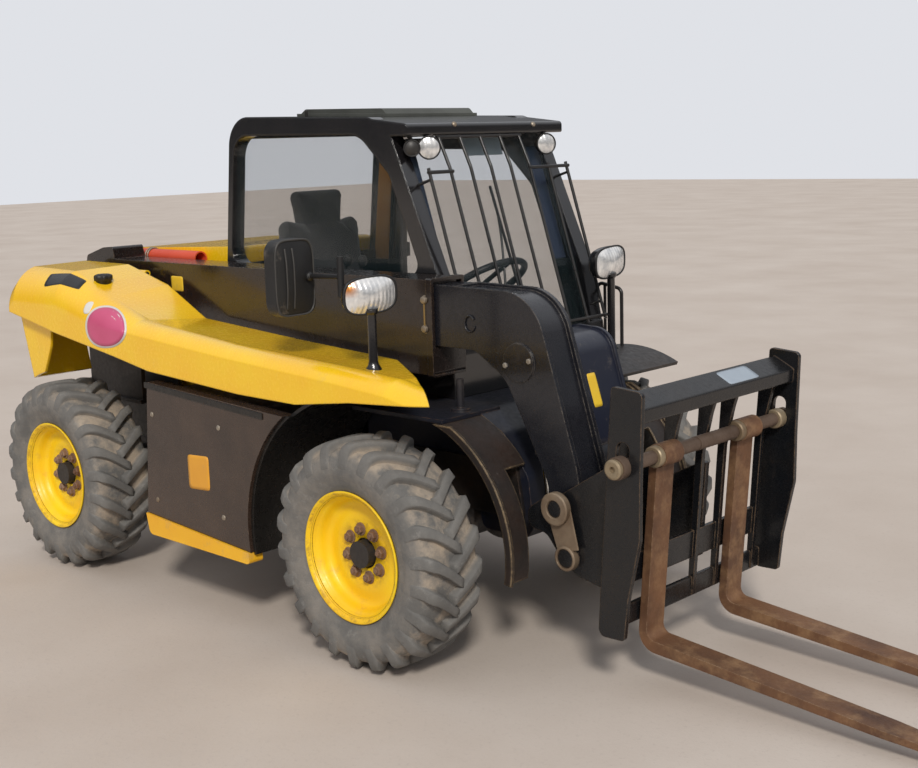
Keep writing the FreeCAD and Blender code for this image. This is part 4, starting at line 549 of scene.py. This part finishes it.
def heads(name, places, axis, stages, material, body, sides=6):
    """Bolt heads or discs on one axis: each stage of a head is (height along the axis, radius)."""
    axis = np.array(axis, float) / np.linalg.norm(axis)
    first = np.cross(axis, (0.3, 0.2, 0.93))
    first /= np.linalg.norm(first)
    second = np.cross(axis, first)
    points, faces = [], []
    for i, place in enumerate(places):
        angle = 0.7 * i + np.arange(sides) * 2 * np.pi / sides
        round_way = np.cos(angle)[:, None] * first + np.sin(angle)[:, None] * second
        rings = [np.array(place) + height * axis + radius * round_way for height, radius in stages]
        faces += [[v + i * len(stages) * sides for v in f] for f in ring_faces(len(stages), sides)]
        points += np.concatenate(rings).tolist()
    piece = surface(name, points, faces, material, body, smooth=sides > 8)
    if sides > 8:
        piece.data.set_sharp_from_angle(angle=math.radians(35))
    face_outwards(piece)
    return piece


def plank(name, corners, thickness, material, body, rounding=0.004):
    """A flat piece from four corners in order, given its thickness along a vector."""
    near = np.array(corners, float)
    faces = [[0, 1, 2, 3], [7, 6, 5, 4], [0, 4, 5, 1], [1, 5, 6, 2], [2, 6, 7, 3], [3, 7, 4, 0]]
    piece = surface(name, np.concatenate([near, near + np.array(thickness, float)]), faces, material, body, False)
    face_outwards(piece)
    soften_edges(piece, rounding, 2)
    return piece


bolt_steel = painted("bolt_steel", (0.42, 0.38, 0.32), (0.28, 0.22, 0.16), (0.35, 0.6), 0.0, dust=0.3, relief=0.3,
                     metallic=0.7)
panel_band = [(-0.935, -0.7555, 0.816), (-0.250, -0.7555, 0.778), (-0.250, -0.7555, 0.800), (-0.935, -0.7555, 0.838)]
plank("side_panel_band", panel_band, (0, -0.0045, 0), guard_black, "chassis", 0.002)
panel_bolts = laid("side_panel", [(x, -1.0, z) for x in (-0.90, -0.50) for z in (0.40, 0.72)], inwards, 0.0)
heads("panel_bolts", panel_bolts, (0, -1, 0), ((-0.003, 0.010), (0.001, 0.010), (0.004, 0.007), (0.005, 0.003)), bolt_steel,
      "chassis", 16)


# The boom: brown-black enamel with a worn top edge, a collar, two silver bolts joined by a thin rod, and
# the goose-neck nose with its pivot disc and a blank yellow label on its far cover.
boom_enamel = painted("boom_enamel", (0.009, 0.007, 0.007), (0.022, 0.014, 0.011), (0.16, 0.32), 0.005, dust=0.08,
                      dust_colour=(0.06, 0.042, 0.03, 1), wear=0.6, wear_colour=(0.16, 0.10, 0.06, 1), relief=0.10,
                      coat=0.5)
nose_enamel = painted("nose_enamel", (0.007, 0.008, 0.012), (0.014, 0.014, 0.018), (0.18, 0.36), 0.006, dust=0.1,
                      dust_colour=(0.055, 0.045, 0.04, 1), wear=0.75, wear_colour=(0.15, 0.125, 0.10, 1), relief=0.15,
                      coat=0.3)
housing_navy = painted("housing_navy", (0.006, 0.009, 0.024), (0.010, 0.012, 0.024), (0.3, 0.45), 0.008, dust=0.12,
                       wear=0.4, wear_colour=(0.10, 0.09, 0.08, 1), relief=0.12, coat=0.25)
dress(boom_enamel, "boom_outer")
dress(nose_enamel, "boom_inner")
dress(housing_navy, "nose_cover")
film_yellow = painted("film_yellow", (0.85, 0.58, 0.03), (0.78, 0.50, 0.03), (0.35, 0.5), 0.0, dust=0.25, relief=0.05)
label("nose_label_blank", "nose_cover", (1.0, -0.130, 0.930), (0.0, 0.021, 0.0), (0.0, 0.0, 0.055), (-1, 0, -0.15),
      film_yellow, 12)
label("boom_label_blank", "boom_outer", (-1.283, -1.0, 1.140), (0.040, 0, 0.0), (0, 0, 0.030), inwards, film_yellow, 12)
boom_bolts = laid("boom_outer", [(0.118, -1.0, 1.156), (0.118, -1.0, 1.060)], inwards, 0.0)
heads("boom_bolts", boom_bolts, (0, -1, 0), ((-0.002, 0.016), (0.003, 0.016), (0.0035, 0.013), (0.013, 0.012),
      (0.015, 0.009)), bolt_steel, "boom", 12)


def tube(name, points, radius, material, body, sides=12, steps=10):
    """Round bar of one radius along a Catmull-Rom curve through its points, closed at both ends."""
    p = np.array(points, float)
    p = np.vstack([2 * p[0] - p[1], p, 2 * p[-1] - p[-2]])
    t = np.linspace(0, 1, steps, endpoint=False)[:, None]
    line = [0.5 * (2 * b + (c - a) * t + (2 * a - 5 * b + 4 * c - d) * t ** 2 + (3 * b - a - 3 * c + d) * t ** 3)
            for a, b, c, d in zip(p, p[1:], p[2:], p[3:])]
    line = np.vstack(line + [p[-2:-1]])
    heading = np.gradient(line, axis=0)
    heading /= np.linalg.norm(heading, axis=1)[:, None]
    aside = np.cross(heading, (0.21, 0.34, 0.92))
    aside /= np.linalg.norm(aside, axis=1)[:, None]
    over = np.cross(heading, aside)
    turn = np.linspace(0, 2 * np.pi, sides, endpoint=False)[None, :, None]
    rings = line[:, None] + radius * (np.cos(turn) * aside[:, None] + np.sin(turn) * over[:, None])
    piece = surface(name, rings, ring_faces(len(line), sides), material, body)
    face_outwards(piece)
    return piece


brass = painted("tie_rod_yellow", (0.40, 0.28, 0.10), (0.28, 0.18, 0.07), (0.35, 0.55), 0.0, metallic=0.6, relief=0.2)
tube("boom_bolt_tie", [boom_bolts[0] + (0, -0.007, 0), boom_bolts[1] + (0, -0.007, 0)], 0.0032, brass, "boom")
disc_bolts = laid("boom_inner", [(0.459, -1.0, 0.968), (0.557, -1.0, 0.989)], inwards, 0.0)
heads("disc_bolts", disc_bolts, (0, -1, 0), ((-0.002, 0.0095), (0.0055, 0.0095), (0.007, 0.007)), bolt_steel,
      "boom_extension")
ring_turn = np.linspace(0.6, 2 * np.pi - 0.3, 9)
ring_line = laid("boom_inner", [(0.304 + 0.022 * math.cos(a), -1.0, 1.088 + 0.026 * math.sin(a)) for a in ring_turn],
                 inwards, 0.003)
tube("nose_lifting_ring", ring_line, 0.0035, nose_enamel, "boom_extension")


# The red prop tube beside the boom with its clamp, and the rams: black barrels and polished rods.
prop_red = painted("prop_red", (0.72, 0.085, 0.030), (0.62, 0.065, 0.025), (0.35, 0.5), 0.002, dust=0.12, wear=0.3,
                   wear_colour=(0.30, 0.20, 0.12, 1), relief=0.1)
ram_black = painted("ram_black", (0.02, 0.02, 0.022), (0.03, 0.028, 0.026), (0.35, 0.55), 0.003, dust=0.3)
ram_chrome = painted("ram_chrome", (0.62, 0.62, 0.60), (0.55, 0.54, 0.52), (0.10, 0.22), 0.0, relief=0.03, metallic=1.0)
dress(prop_red, "boom_prop")
dress(ram_black, "lift_barrel", "tilt_barrel")
dress(ram_chrome, "lift_rod", "tilt_rod")
clamp_turn = np.linspace(-1.5, 1.7, 9)
for n, x in enumerate((-1.738, -1.722)):
    band = [(x, -0.151 + 0.0345 * math.sin(a), 1.219 + 0.0345 * math.cos(a)) for a in clamp_turn]
    tube("prop_clamp_" + "ab"[n], band, 0.0035, bolt_steel, "chassis")


# The carriage: black cheeks and uprights worn brown along their edges, a navy beam with a blank pale plate,
# and two forged forks, rusty all over, hung on a rusty shaft with a pale nut on its end.
frame_black = painted("frame_black", (0.006, 0.0075, 0.010), (0.012, 0.011, 0.011), (0.15, 0.36), 0.006, dust=0.08,
                      dust_colour=(0.06, 0.042, 0.03, 1), wear=0.95, wear_colour=(0.20, 0.125, 0.07, 1), relief=0.25)
fork_steel = painted("fork_steel", (0.215, 0.105, 0.050), (0.085, 0.042, 0.026), (0.45, 0.72), 0.004, dust=0.55,
                     dust_colour=(0.34, 0.20, 0.10, 1), wear=0.6, wear_colour=(0.42, 0.30, 0.19, 1), relief=0.8,
                     metallic=0.25, grain_scale=90.0)
shaft_steel = painted("shaft_steel", (0.17, 0.12, 0.09), (0.10, 0.065, 0.045), (0.45, 0.7), 0.002, dust=0.3,
                      dust_colour=(0.24, 0.17, 0.11, 1), relief=0.8, metallic=0.4, grain_scale=120.0)
nut_pale = painted("pale_nut", (0.36, 0.29, 0.19), (0.20, 0.145, 0.09), (0.4, 0.6), 0.002, dust=0.3, wear=0.4, relief=0.4,
                   metallic=0.4)
film_pale = painted("film_pale_blue", (0.36, 0.42, 0.48), (0.30, 0.35, 0.41), (0.4, 0.6), 0.0, dust=0.25,
                    dust_colour=(0.22, 0.22, 0.22, 1), relief=0.2)
dress(frame_black, "fork_frame", "carriage_hitch")
dress(fork_steel, "fork_left", "fork_right")
dress(shaft_steel, "fork_shaft")
tip = math.radians(4.5)
frame_side = 0.014


def on_frame(x, y, z):
    """A place on the carriage's leaning frame, from its own upright layout in metres from the front axle."""
    run, rise = x - 0.820, z - 0.550
    return (0.970 + run * math.cos(tip) + rise * math.sin(tip), y + frame_side,
            0.550 + rise * math.cos(tip) - run * math.sin(tip))


label("beam_plate_blank", "fork_frame", (0.995, 0.155, 1.2), (0.0, 0.085, 0.0), (0.028, 0.0, 0.0), (0, 0, -1), film_pale,
      14)
shaft_end = on_frame(0.811, -0.470, 0.731)
heads("shaft_nut", [shaft_end], (0, -1, 0), ((-0.004, 0.026), (0.006, 0.030), (0.014, 0.030), (0.018, 0.024), (0.016, 0.010),
      (0.006, 0.009)), nut_pale, "carriage", 24)
for corner, y in (("right", -0.222), ("left", 0.222)):
    place = on_frame(0.811, y - 0.046 if y < 0 else y - 0.046, 0.731)
    heads("shaft_collar_" + corner, [place], (0, -1, 0), ((-0.001, 0.024), (-0.001, 0.033), (0.018, 0.033), (0.022, 0.029),
          (0.022, 0.0235)), nut_pale, "carriage", 28)
boss_worn = painted("worn_boss", (0.30, 0.23, 0.16), (0.12, 0.075, 0.045), (0.4, 0.65), 0.003, dust=0.3, wear=0.6,
                    wear_colour=(0.45, 0.38, 0.28, 1), relief=0.6, metallic=0.35)
bores = {
    # piece: centre x and z, outer radius, bore radius, how far the near face stands out
    "hitch_boss": (0.6900, 0.5500, 0.052, 0.027, -0.392),
    "hitch_tube": (0.7210, 0.3960, 0.040, 0.030, -0.381),
}
for name, (x, z, outside, inside, face) in bores.items():
    stages = ((-0.020, outside), (0.0, outside), (0.003, outside - 0.004), (0.003, inside + 0.002), (-0.002, inside),
              (-0.0035, inside))
    heads(name + "_rim", [(x, face, z)], (0, -1, 0), stages, boss_worn, "carriage", 32)
    heads(name + "_bore", [(x, face, z)], (0, -1, 0), ((-0.004, inside), (-0.0015, inside - 0.001), (-0.001, inside * 0.4)),
          frame_black, "carriage", 32)
web = [(0.652, -0.371, 0.520), (0.690, -0.371, 0.410), (0.772, -0.371, 0.430), (0.740, -0.371, 0.560)]
plank("hitch_web_plate", web, (0, -0.006, 0), boss_worn, "carriage", 0.003)
grooves = [(0.215 * n / 21, 0.0215 + 0.0014 * (n % 2)) for n in range(22)]
heads("shaft_ribs", [on_frame(0.811, 0.150, 0.731)], (0, -1, 0), grooves, shaft_steel, "carriage", 28)
heads("frame_end_collar", [on_frame(0.811, 0.424, 0.731)], (0, -1, 0), ((0.0, 0.022), (0.0, 0.032), (0.030, 0.032),
      (0.034, 0.028), (0.034, 0.0215)), nut_pale, "carriage", 28)


# The cab: glossy black rounded posts, tinted panes, bolts and stays on the hoops, a dull mesh hatch, and the
# rod guard.
post_black = painted("post_black", (0.006, 0.006, 0.007), (0.011, 0.010, 0.011), (0.12, 0.22), 0.012, dust=0.04, relief=0.04,
                     coat=0.8)
rod_black = painted("rod_black", (0.013, 0.013, 0.014), (0.022, 0.020, 0.019), (0.25, 0.4), 0.0, wear=0.0, relief=0.1)
hatch_dull = painted("hatch_dull", (0.085, 0.090, 0.080), (0.050, 0.052, 0.046), (0.5, 0.7), 0.003, relief=0.8,
                     grain_scale=160.0)
dress(post_black, "cab_frame", "cab_roof", "door_frame")
dress(rod_black, "windscreen_guard", "grab_rail")
dress(hatch_dull, "roof_hatch")


def pane(name, tint):
    """Thin tinted glass: mostly open to light, with a faint body colour and a mirror's sheen on it."""
    material, tree, shader, _ = blank_material(name)
    shader.inputs["Base Color"].default_value = (*tint, 1)
    shader.inputs["Alpha"].default_value = 0.14
    shader.inputs["Roughness"].default_value = 0.03
    shader.inputs["Coat Weight"].default_value = 1.0
    return material


tinted = pane("tinted_glass", (0.03, 0.05, 0.055))
dress(tinted, "right_glass", "windscreen", "rear_glass", "door_glass")


trim_orange = painted("trim_orange", (0.50, 0.24, 0.03), (0.38, 0.17, 0.025), (0.4, 0.55), 0.003, dust=0.2, relief=0.1)
# Pale sky blue for a thin sheet at the windscreen's top: a painted reflection of the sky on the cab's front header.
painted_sky_reflection = painted("painted_sky_reflection", (0.42, 0.52, 0.58), (0.36, 0.46, 0.52), (0.3, 0.5), 0.0, relief=0.05)
plank("rear_post_lining", [(-1.126, 0.586, 1.17), (-1.040, 0.586, 1.17), (-0.985, 0.586, 1.66), (-1.062, 0.586, 1.66)],
      (0, 0.006, 0), trim_orange, "chassis")
# This thin sheet on the front header carries the painted sky reflection.
plank("windscreen_top_painted_reflection", [(-0.205, 0.215, 1.612), (-0.205, 0.415, 1.612), (-0.228, 0.415, 1.684),
      (-0.228, 0.215, 1.684)], (0.003, 0, 0.001), painted_sky_reflection, "chassis", 0.001)
# Navy sheets inside the front posts: a painted reflection of the sky on the posts' inner faces behind the glass.
painted_post_reflection = painted("painted_post_reflection", (0.014, 0.026, 0.075), (0.010, 0.018, 0.05), (0.4, 0.6), 0.004, relief=0.1)
for corner, inner, outer in (("right", -0.078, -0.140), ("left", 0.520, 0.586)):
    lining = [(-0.176, outer, 1.640), (-0.176, inner, 1.640), (-0.040, inner, 1.215), (-0.040, outer, 1.215)]
    plank("front_post_painted_reflection_" + corner, lining, (-0.008, 0, -0.003), painted_post_reflection, "chassis", 0.003)
tube("roof_beacon_stem", [(-0.80, -0.040, 1.770), (-0.80, -0.040, 1.800)], 0.006, rod_black, "chassis")
heads("header_bolts", [(-0.108, 0.054, 1.7265), (-0.106, 0.481, 1.7215)], (0.87, 0, 0.48), ((-0.003, 0.010), (0.002, 0.010), (0.006, 0.007), (0.0075, 0.003)), bolt_steel,
      "chassis", 16)
tube("wiper_arm", [(0.020, 0.180, 1.000), (-0.010, 0.200, 1.120), (-0.062, 0.240, 1.300), (-0.098, 0.262, 1.400)], 0.0045,
     rod_black, "chassis")
tube("wiper_blade", [(0.006, 0.262, 1.110), (-0.062, 0.262, 1.300), (-0.134, 0.262, 1.500)], 0.0055, rod_black, "chassis")


# Lamps: oval clear headlamps with fluted chrome behind the lens and an amber corner, round work lamps, and
# red lamps at the tail.
def bowl(name, centre, across, upright, outward, bulge, material, body, squareness=2.6):
    """A domed lens: height = bulge (1 - s^2) over a superellipse of two half axes, with a rim turned back."""
    across, upright, outward = (np.array(v, float) for v in (across, upright, outward))
    angle = np.linspace(0, 2 * np.pi, 64, endpoint=False)
    reach = outline_reach(angle, squareness)
    share = np.array([0.05, 0.2, 0.4, 0.6, 0.75, 0.88, 0.96, 1.0])[:, None]
    dome = (np.array(centre) + (share * reach * np.cos(angle))[..., None] * across
            + (share * reach * np.sin(angle))[..., None] * upright
            + (bulge * (1 - share ** 2) + 0 * angle)[..., None] * outward)
    back = dome[-1:] - 0.012 * outward
    faces = closed_grid(9, 64, False, True).tolist() + [list(range(64)), list(range(8 * 64, 9 * 64))]
    piece = surface(name, np.concatenate([dome, back]), faces, material, body)
    face_outwards(piece)
    return piece


def rim_ring(name, centre, across, upright, outward, thick, material, body, squareness=2.6):
    """A round bead along a superellipse."""
    across, upright, outward = (np.array(v, float) for v in (across, upright, outward))
    angle = np.linspace(0, 2 * np.pi, 72, endpoint=False)[:, None]
    turn = np.linspace(0, 2 * np.pi, 10, endpoint=False)[None, :]
    reach = outline_reach(angle, squareness)
    grown = 1 + thick * np.cos(turn) / np.linalg.norm(upright)
    points = (np.array(centre) + (grown * reach * np.cos(angle))[..., None] * across
              + (grown * reach * np.sin(angle))[..., None] * upright
              + (thick * np.sin(turn) + 0 * angle)[..., None] * outward)
    piece = surface(name, points, closed_grid(72, 10, True, True), material, body)
    face_outwards(piece)
    return piece


def lens_glass(name, amber):
    """Bright fluted reflector under a clear cover, amber towards one upper corner where it has one."""
    material, tree, shader, coordinates = blank_material(name)
    parts = add_node(tree, "ShaderNodeSeparateXYZ", {0: coordinates}).outputs
    flutes = arithmetic(tree, "SINE", arithmetic(tree, "MULTIPLY", parts[1], 420.0), 0.0)
    cells = noise(tree, coordinates, 38.0, 3.0, 0.6)
    base = blend_colours(tree, spread(tree, cells, 0.35, 0.65), (0.95, 0.94, 0.92, 1), (0.62, 0.63, 0.64, 1))
    if amber:
        corner_x = spread(tree, parts[1], -0.662, -0.684)
        corner_z = spread(tree, parts[2], 1.196, 1.222)
        base = blend_colours(tree, arithmetic(tree, "MULTIPLY", corner_x, corner_z), base, (0.80, 0.30, 0.06, 1))
    tree.links.new(base, shader.inputs["Base Color"])
    shader.inputs["Metallic"].default_value = 0.55
    shader.inputs["Roughness"].default_value = 0.22
    shader.inputs["Coat Weight"].default_value = 1.0
    height = arithmetic(tree, "ADD", flutes, arithmetic(tree, "MULTIPLY", cells, 3.0))
    bumps = add_node(tree, "ShaderNodeBump", {"Height": height, "Strength": 0.3, "Distance": 0.002})
    tree.links.new(bumps.outputs[0], shader.inputs["Normal"])
    return material


oval_turn = np.linspace(0, 2 * np.pi, 64, endpoint=False)
shell_rings = ((0.0, 1.0), (0.010, 1.02), (0.030, 0.98), (0.045, 0.86), (0.056, 0.62), (0.060, 0.30))
clear_lens = lens_glass("clear_lens", False)
amber_cornered = lens_glass("amber_cornered_lens", True)
dress(moulding, "rear_lights")
for corner, side, lens, body, turned in (("right", -1, amber_cornered, "engine_cover", 20), ("left", 1, clear_lens, "chassis", 0)):
    facing = np.array((math.cos(math.radians(turned)), -math.sin(math.radians(turned)), 0.0))
    beside = np.array((-facing[1], facing[0], 0.07))
    place = np.array((0.148, side * 0.617, 1.201))
    bowl("headlamp_lens_" + corner, place, beside * 0.087, (0, 0, 0.057), facing, 0.024, lens, body, 3.0)
    rim_ring("headlamp_bezel_" + corner, place, beside * 0.088, (0, 0, 0.058), facing, 0.0033, moulding, body, 3.0)
    backs = [place - facing * depth + share * outline_reach(oval_turn, 3.0)[:, None]
             * (np.cos(oval_turn)[:, None] * beside * 0.088 + np.sin(oval_turn)[:, None] * (0, 0, 0.058))
             for depth, share in shell_rings]
    shell = surface("headlamp_shell_" + corner, np.array(backs), ring_faces(len(shell_rings), len(oval_turn)), post_black,
                    body)
    face_outwards(shell)
    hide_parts("headlamp_" + corner)
    foot = 0.962 if side < 0 else 0.868
    stages = ((-0.012, 0.026), (0.006, 0.026), (0.018, 0.018), (0.030, 0.0148), (1.140 - foot, 0.0148),
              (1.148 - foot, 0.021), (1.160 - foot, 0.021))
    heads("headlamp_post_" + corner, [(0.150, side * 0.617, foot)], (0, 0, 1), stages, post_black, body, 24)
lamp_shell = ((0.0, 1.08), (-0.012, 1.10), (-0.030, 0.98), (-0.046, 0.68), (-0.054, 0.30))
for n, (x, y, radius, turned) in enumerate(((-0.120, -0.148, 0.026, 38), (-0.098, -0.086, 0.037, 38), (-0.098, 0.548, 0.036, 24))):
    facing = np.array((math.cos(math.radians(turned)), -math.sin(math.radians(turned)), 0.0))
    beside = np.array((-facing[1], facing[0], 0.0))
    place = np.array((x, y, 1.6477))
    lens = ram_black if n == 0 else clear_lens
    bowl("work_lamp_lens_" + "abc"[n], place, beside * radius, (0, 0, radius), facing, 0.008, lens, "chassis", 2.0)
    rim_ring("work_lamp_bezel_" + "abc"[n], place, beside * radius * 1.05, (0, 0, radius * 1.05), facing, 0.0028, moulding,
             "chassis", 2.0)
    shell = heads("work_lamp_shell_" + "abc"[n], [place], facing, [(d, radius * share) for d, share in lamp_shell[::-1]],
                  moulding, "chassis", 40)
    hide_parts(*(["work_lights"] if n == 0 else []))
    stem = place - facing * 0.026
    tube("work_lamp_stem_" + "abc"[n], [stem, stem + (0, 0, 0.030), (stem[0], y, 1.692)], 0.007, moulding, "chassis")
tail_red = painted("tail_red", (0.45, 0.02, 0.015), (0.38, 0.015, 0.01), (0.15, 0.25), 0.0, relief=0.05, coat=0.8)
for side in (-1, 1):
    bowl("tail_lens_" + ("left" if side > 0 else "right"), (-1.9918, side * 0.345, 0.650), (0, 0.042, 0), (0, 0, 0.034),
         (-1, 0, 0), 0.005, tail_red, "chassis", 6.0)


# The mirror: a textured black shell with a lighter rim and two ribs down its back, on a ball joint.
mirror_black = painted("mirror_black", (0.011, 0.011, 0.012), (0.018, 0.018, 0.018), (0.4, 0.6), 0.004, relief=0.6,
                       grain_scale=300.0, dust=0.15)
rim_grey = painted("mirror_rim", (0.055, 0.053, 0.050), (0.040, 0.038, 0.036), (0.4, 0.6), 0.0, relief=0.3)
dress(mirror_black, "mirror_right")
mirror_centre = np.array((-0.130, -0.688, 1.249))
rim_ring("mirror_rim", mirror_centre, (0, 0.079, 0), (0, 0, 0.122), (1, 0, 0), 0.0042, rim_grey, "engine_cover", 5.0)
bowl("mirror_back", mirror_centre, (0, 0.077, 0), (0, 0, 0.120), (1, 0, 0), 0.013, mirror_black, "engine_cover", 5.0)
for n, y in enumerate((-0.730, -0.700)):
    tube("mirror_rib_" + "ab"[n], [(-0.124, y, 1.345), (-0.1175, y, 1.30), (-0.1165, y, 1.25), (-0.1175, y, 1.20),
         (-0.124, y, 1.150)], 0.003, rim_grey, "engine_cover")
heads("mirror_ball", [(-0.121, -0.640, 1.250)], (1, 0, 0), ((-0.004, 0.013), (0.004, 0.0155), (0.012, 0.0145), (0.018, 0.009),
      (0.020, 0.003)), mirror_black, "engine_cover", 20)
looking_glass = painted("looking_glass", (0.72, 0.74, 0.75), (0.70, 0.72, 0.73), (0.02, 0.05), 0.0, relief=0.0, metallic=1.0)
bowl("mirror_glass", (-0.1805, -0.688, 1.249), (0, 0.070, 0), (0, 0, 0.112), (-1, 0, 0), 0.001, looking_glass,
     "engine_cover", 5.0)


# Inside the cab: dark mouldings, two levers on the console, and the seat, whose cover is inflated as cloth
# over the cushion's form.
dress(moulding, "steering_column", "side_console", "seat_base")
fabric, tree, shader, coordinates = blank_material("seat_fabric")
weave_x = add_node(tree, "ShaderNodeTexWave", {"Vector": coordinates, "Scale": 160.0}, bands_direction="X").outputs[0]
weave_y = add_node(tree, "ShaderNodeTexWave", {"Vector": coordinates, "Scale": 160.0}, bands_direction="Y").outputs[0]
weave = arithmetic(tree, "ADD", weave_x, weave_y)
shade = noise(tree, coordinates, 14.0, 5.0, 0.6)
tree.links.new(blend_colours(tree, spread(tree, shade, 0.35, 0.65), (0.014, 0.014, 0.016, 1), (0.030, 0.029, 0.031, 1)),
               shader.inputs["Base Color"])
shader.inputs["Roughness"].default_value = 0.85
shader.inputs["Sheen Weight"].default_value = 0.25
bumps = add_node(tree, "ShaderNodeBump", {"Height": weave, "Strength": 0.4, "Distance": 0.001})
tree.links.new(bumps.outputs[0], shader.inputs["Normal"])


def inflate(source, name, material, body, pressure=4.0, reach=0.024):
    """Remeshes a copy of a node and lets air pressure fill its cover as cloth, then caps how far it may swell."""
    mesh = frame["nodes"][source].data.copy()
    piece = bpy.data.objects.new(name, mesh)
    scene.collection.objects.link(piece)
    mesh.materials.clear()
    mesh.materials.append(material)
    even = piece.modifiers.new("even", "REMESH")
    even.mode = "VOXEL"
    even.voxel_size = 0.006
    graph = bpy.context.evaluated_depsgraph_get()
    piece.data = bpy.data.meshes.new_from_object(piece.evaluated_get(graph))
    piece.modifiers.clear()
    rest = np.array([v.co for v in piece.data.vertices])
    cloth = piece.modifiers.new("cover", "CLOTH")
    cloth.settings.use_pressure = True
    cloth.settings.uniform_pressure_force = pressure
    cloth.settings.effector_weights.gravity = 0.0
    cloth.settings.tension_stiffness = 30.0
    cloth.point_cache.frame_start = 1
    cloth.point_cache.frame_end = 20
    for number in range(1, 21):
        scene.frame_set(number)
    graph = bpy.context.evaluated_depsgraph_get()
    swollen = bpy.data.meshes.new_from_object(piece.evaluated_get(graph))
    moved = np.array([v.co for v in swollen.vertices]) - rest
    far = np.linalg.norm(moved, axis=1)[:, None]
    rest = rest + moved * np.minimum(1.0, reach / np.maximum(far, 1e-9))
    piece.modifiers.clear()
    scene.frame_set(1)
    piece.data.vertices.foreach_set("co", rest.ravel())
    piece.data.update()
    piece.data.materials.clear()
    piece.data.materials.append(material)
    piece.data.shade_smooth()
    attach(piece, body)
    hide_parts(source)
    return piece


inflate("seat", "seat_padded", fabric, "chassis")
for n, (x, y) in enumerate(((-0.52, -0.060), (-0.60, -0.060))):
    tube("lever_" + "ab"[n], [(x, y, 1.115), (x + 0.004, y, 1.17), (x + 0.016, y + 0.004, 1.225)], 0.006, rod_black, "chassis")
    heads("lever_knob_" + "ab"[n], [(x + 0.016, y + 0.004, 1.215)], (0.18, 0.05, 1), ((0.0, 0.008), (0.006, 0.015), (0.022, 0.019),
          (0.036, 0.016), (0.043, 0.008), (0.045, 0.002)), moulding, "chassis", 16)
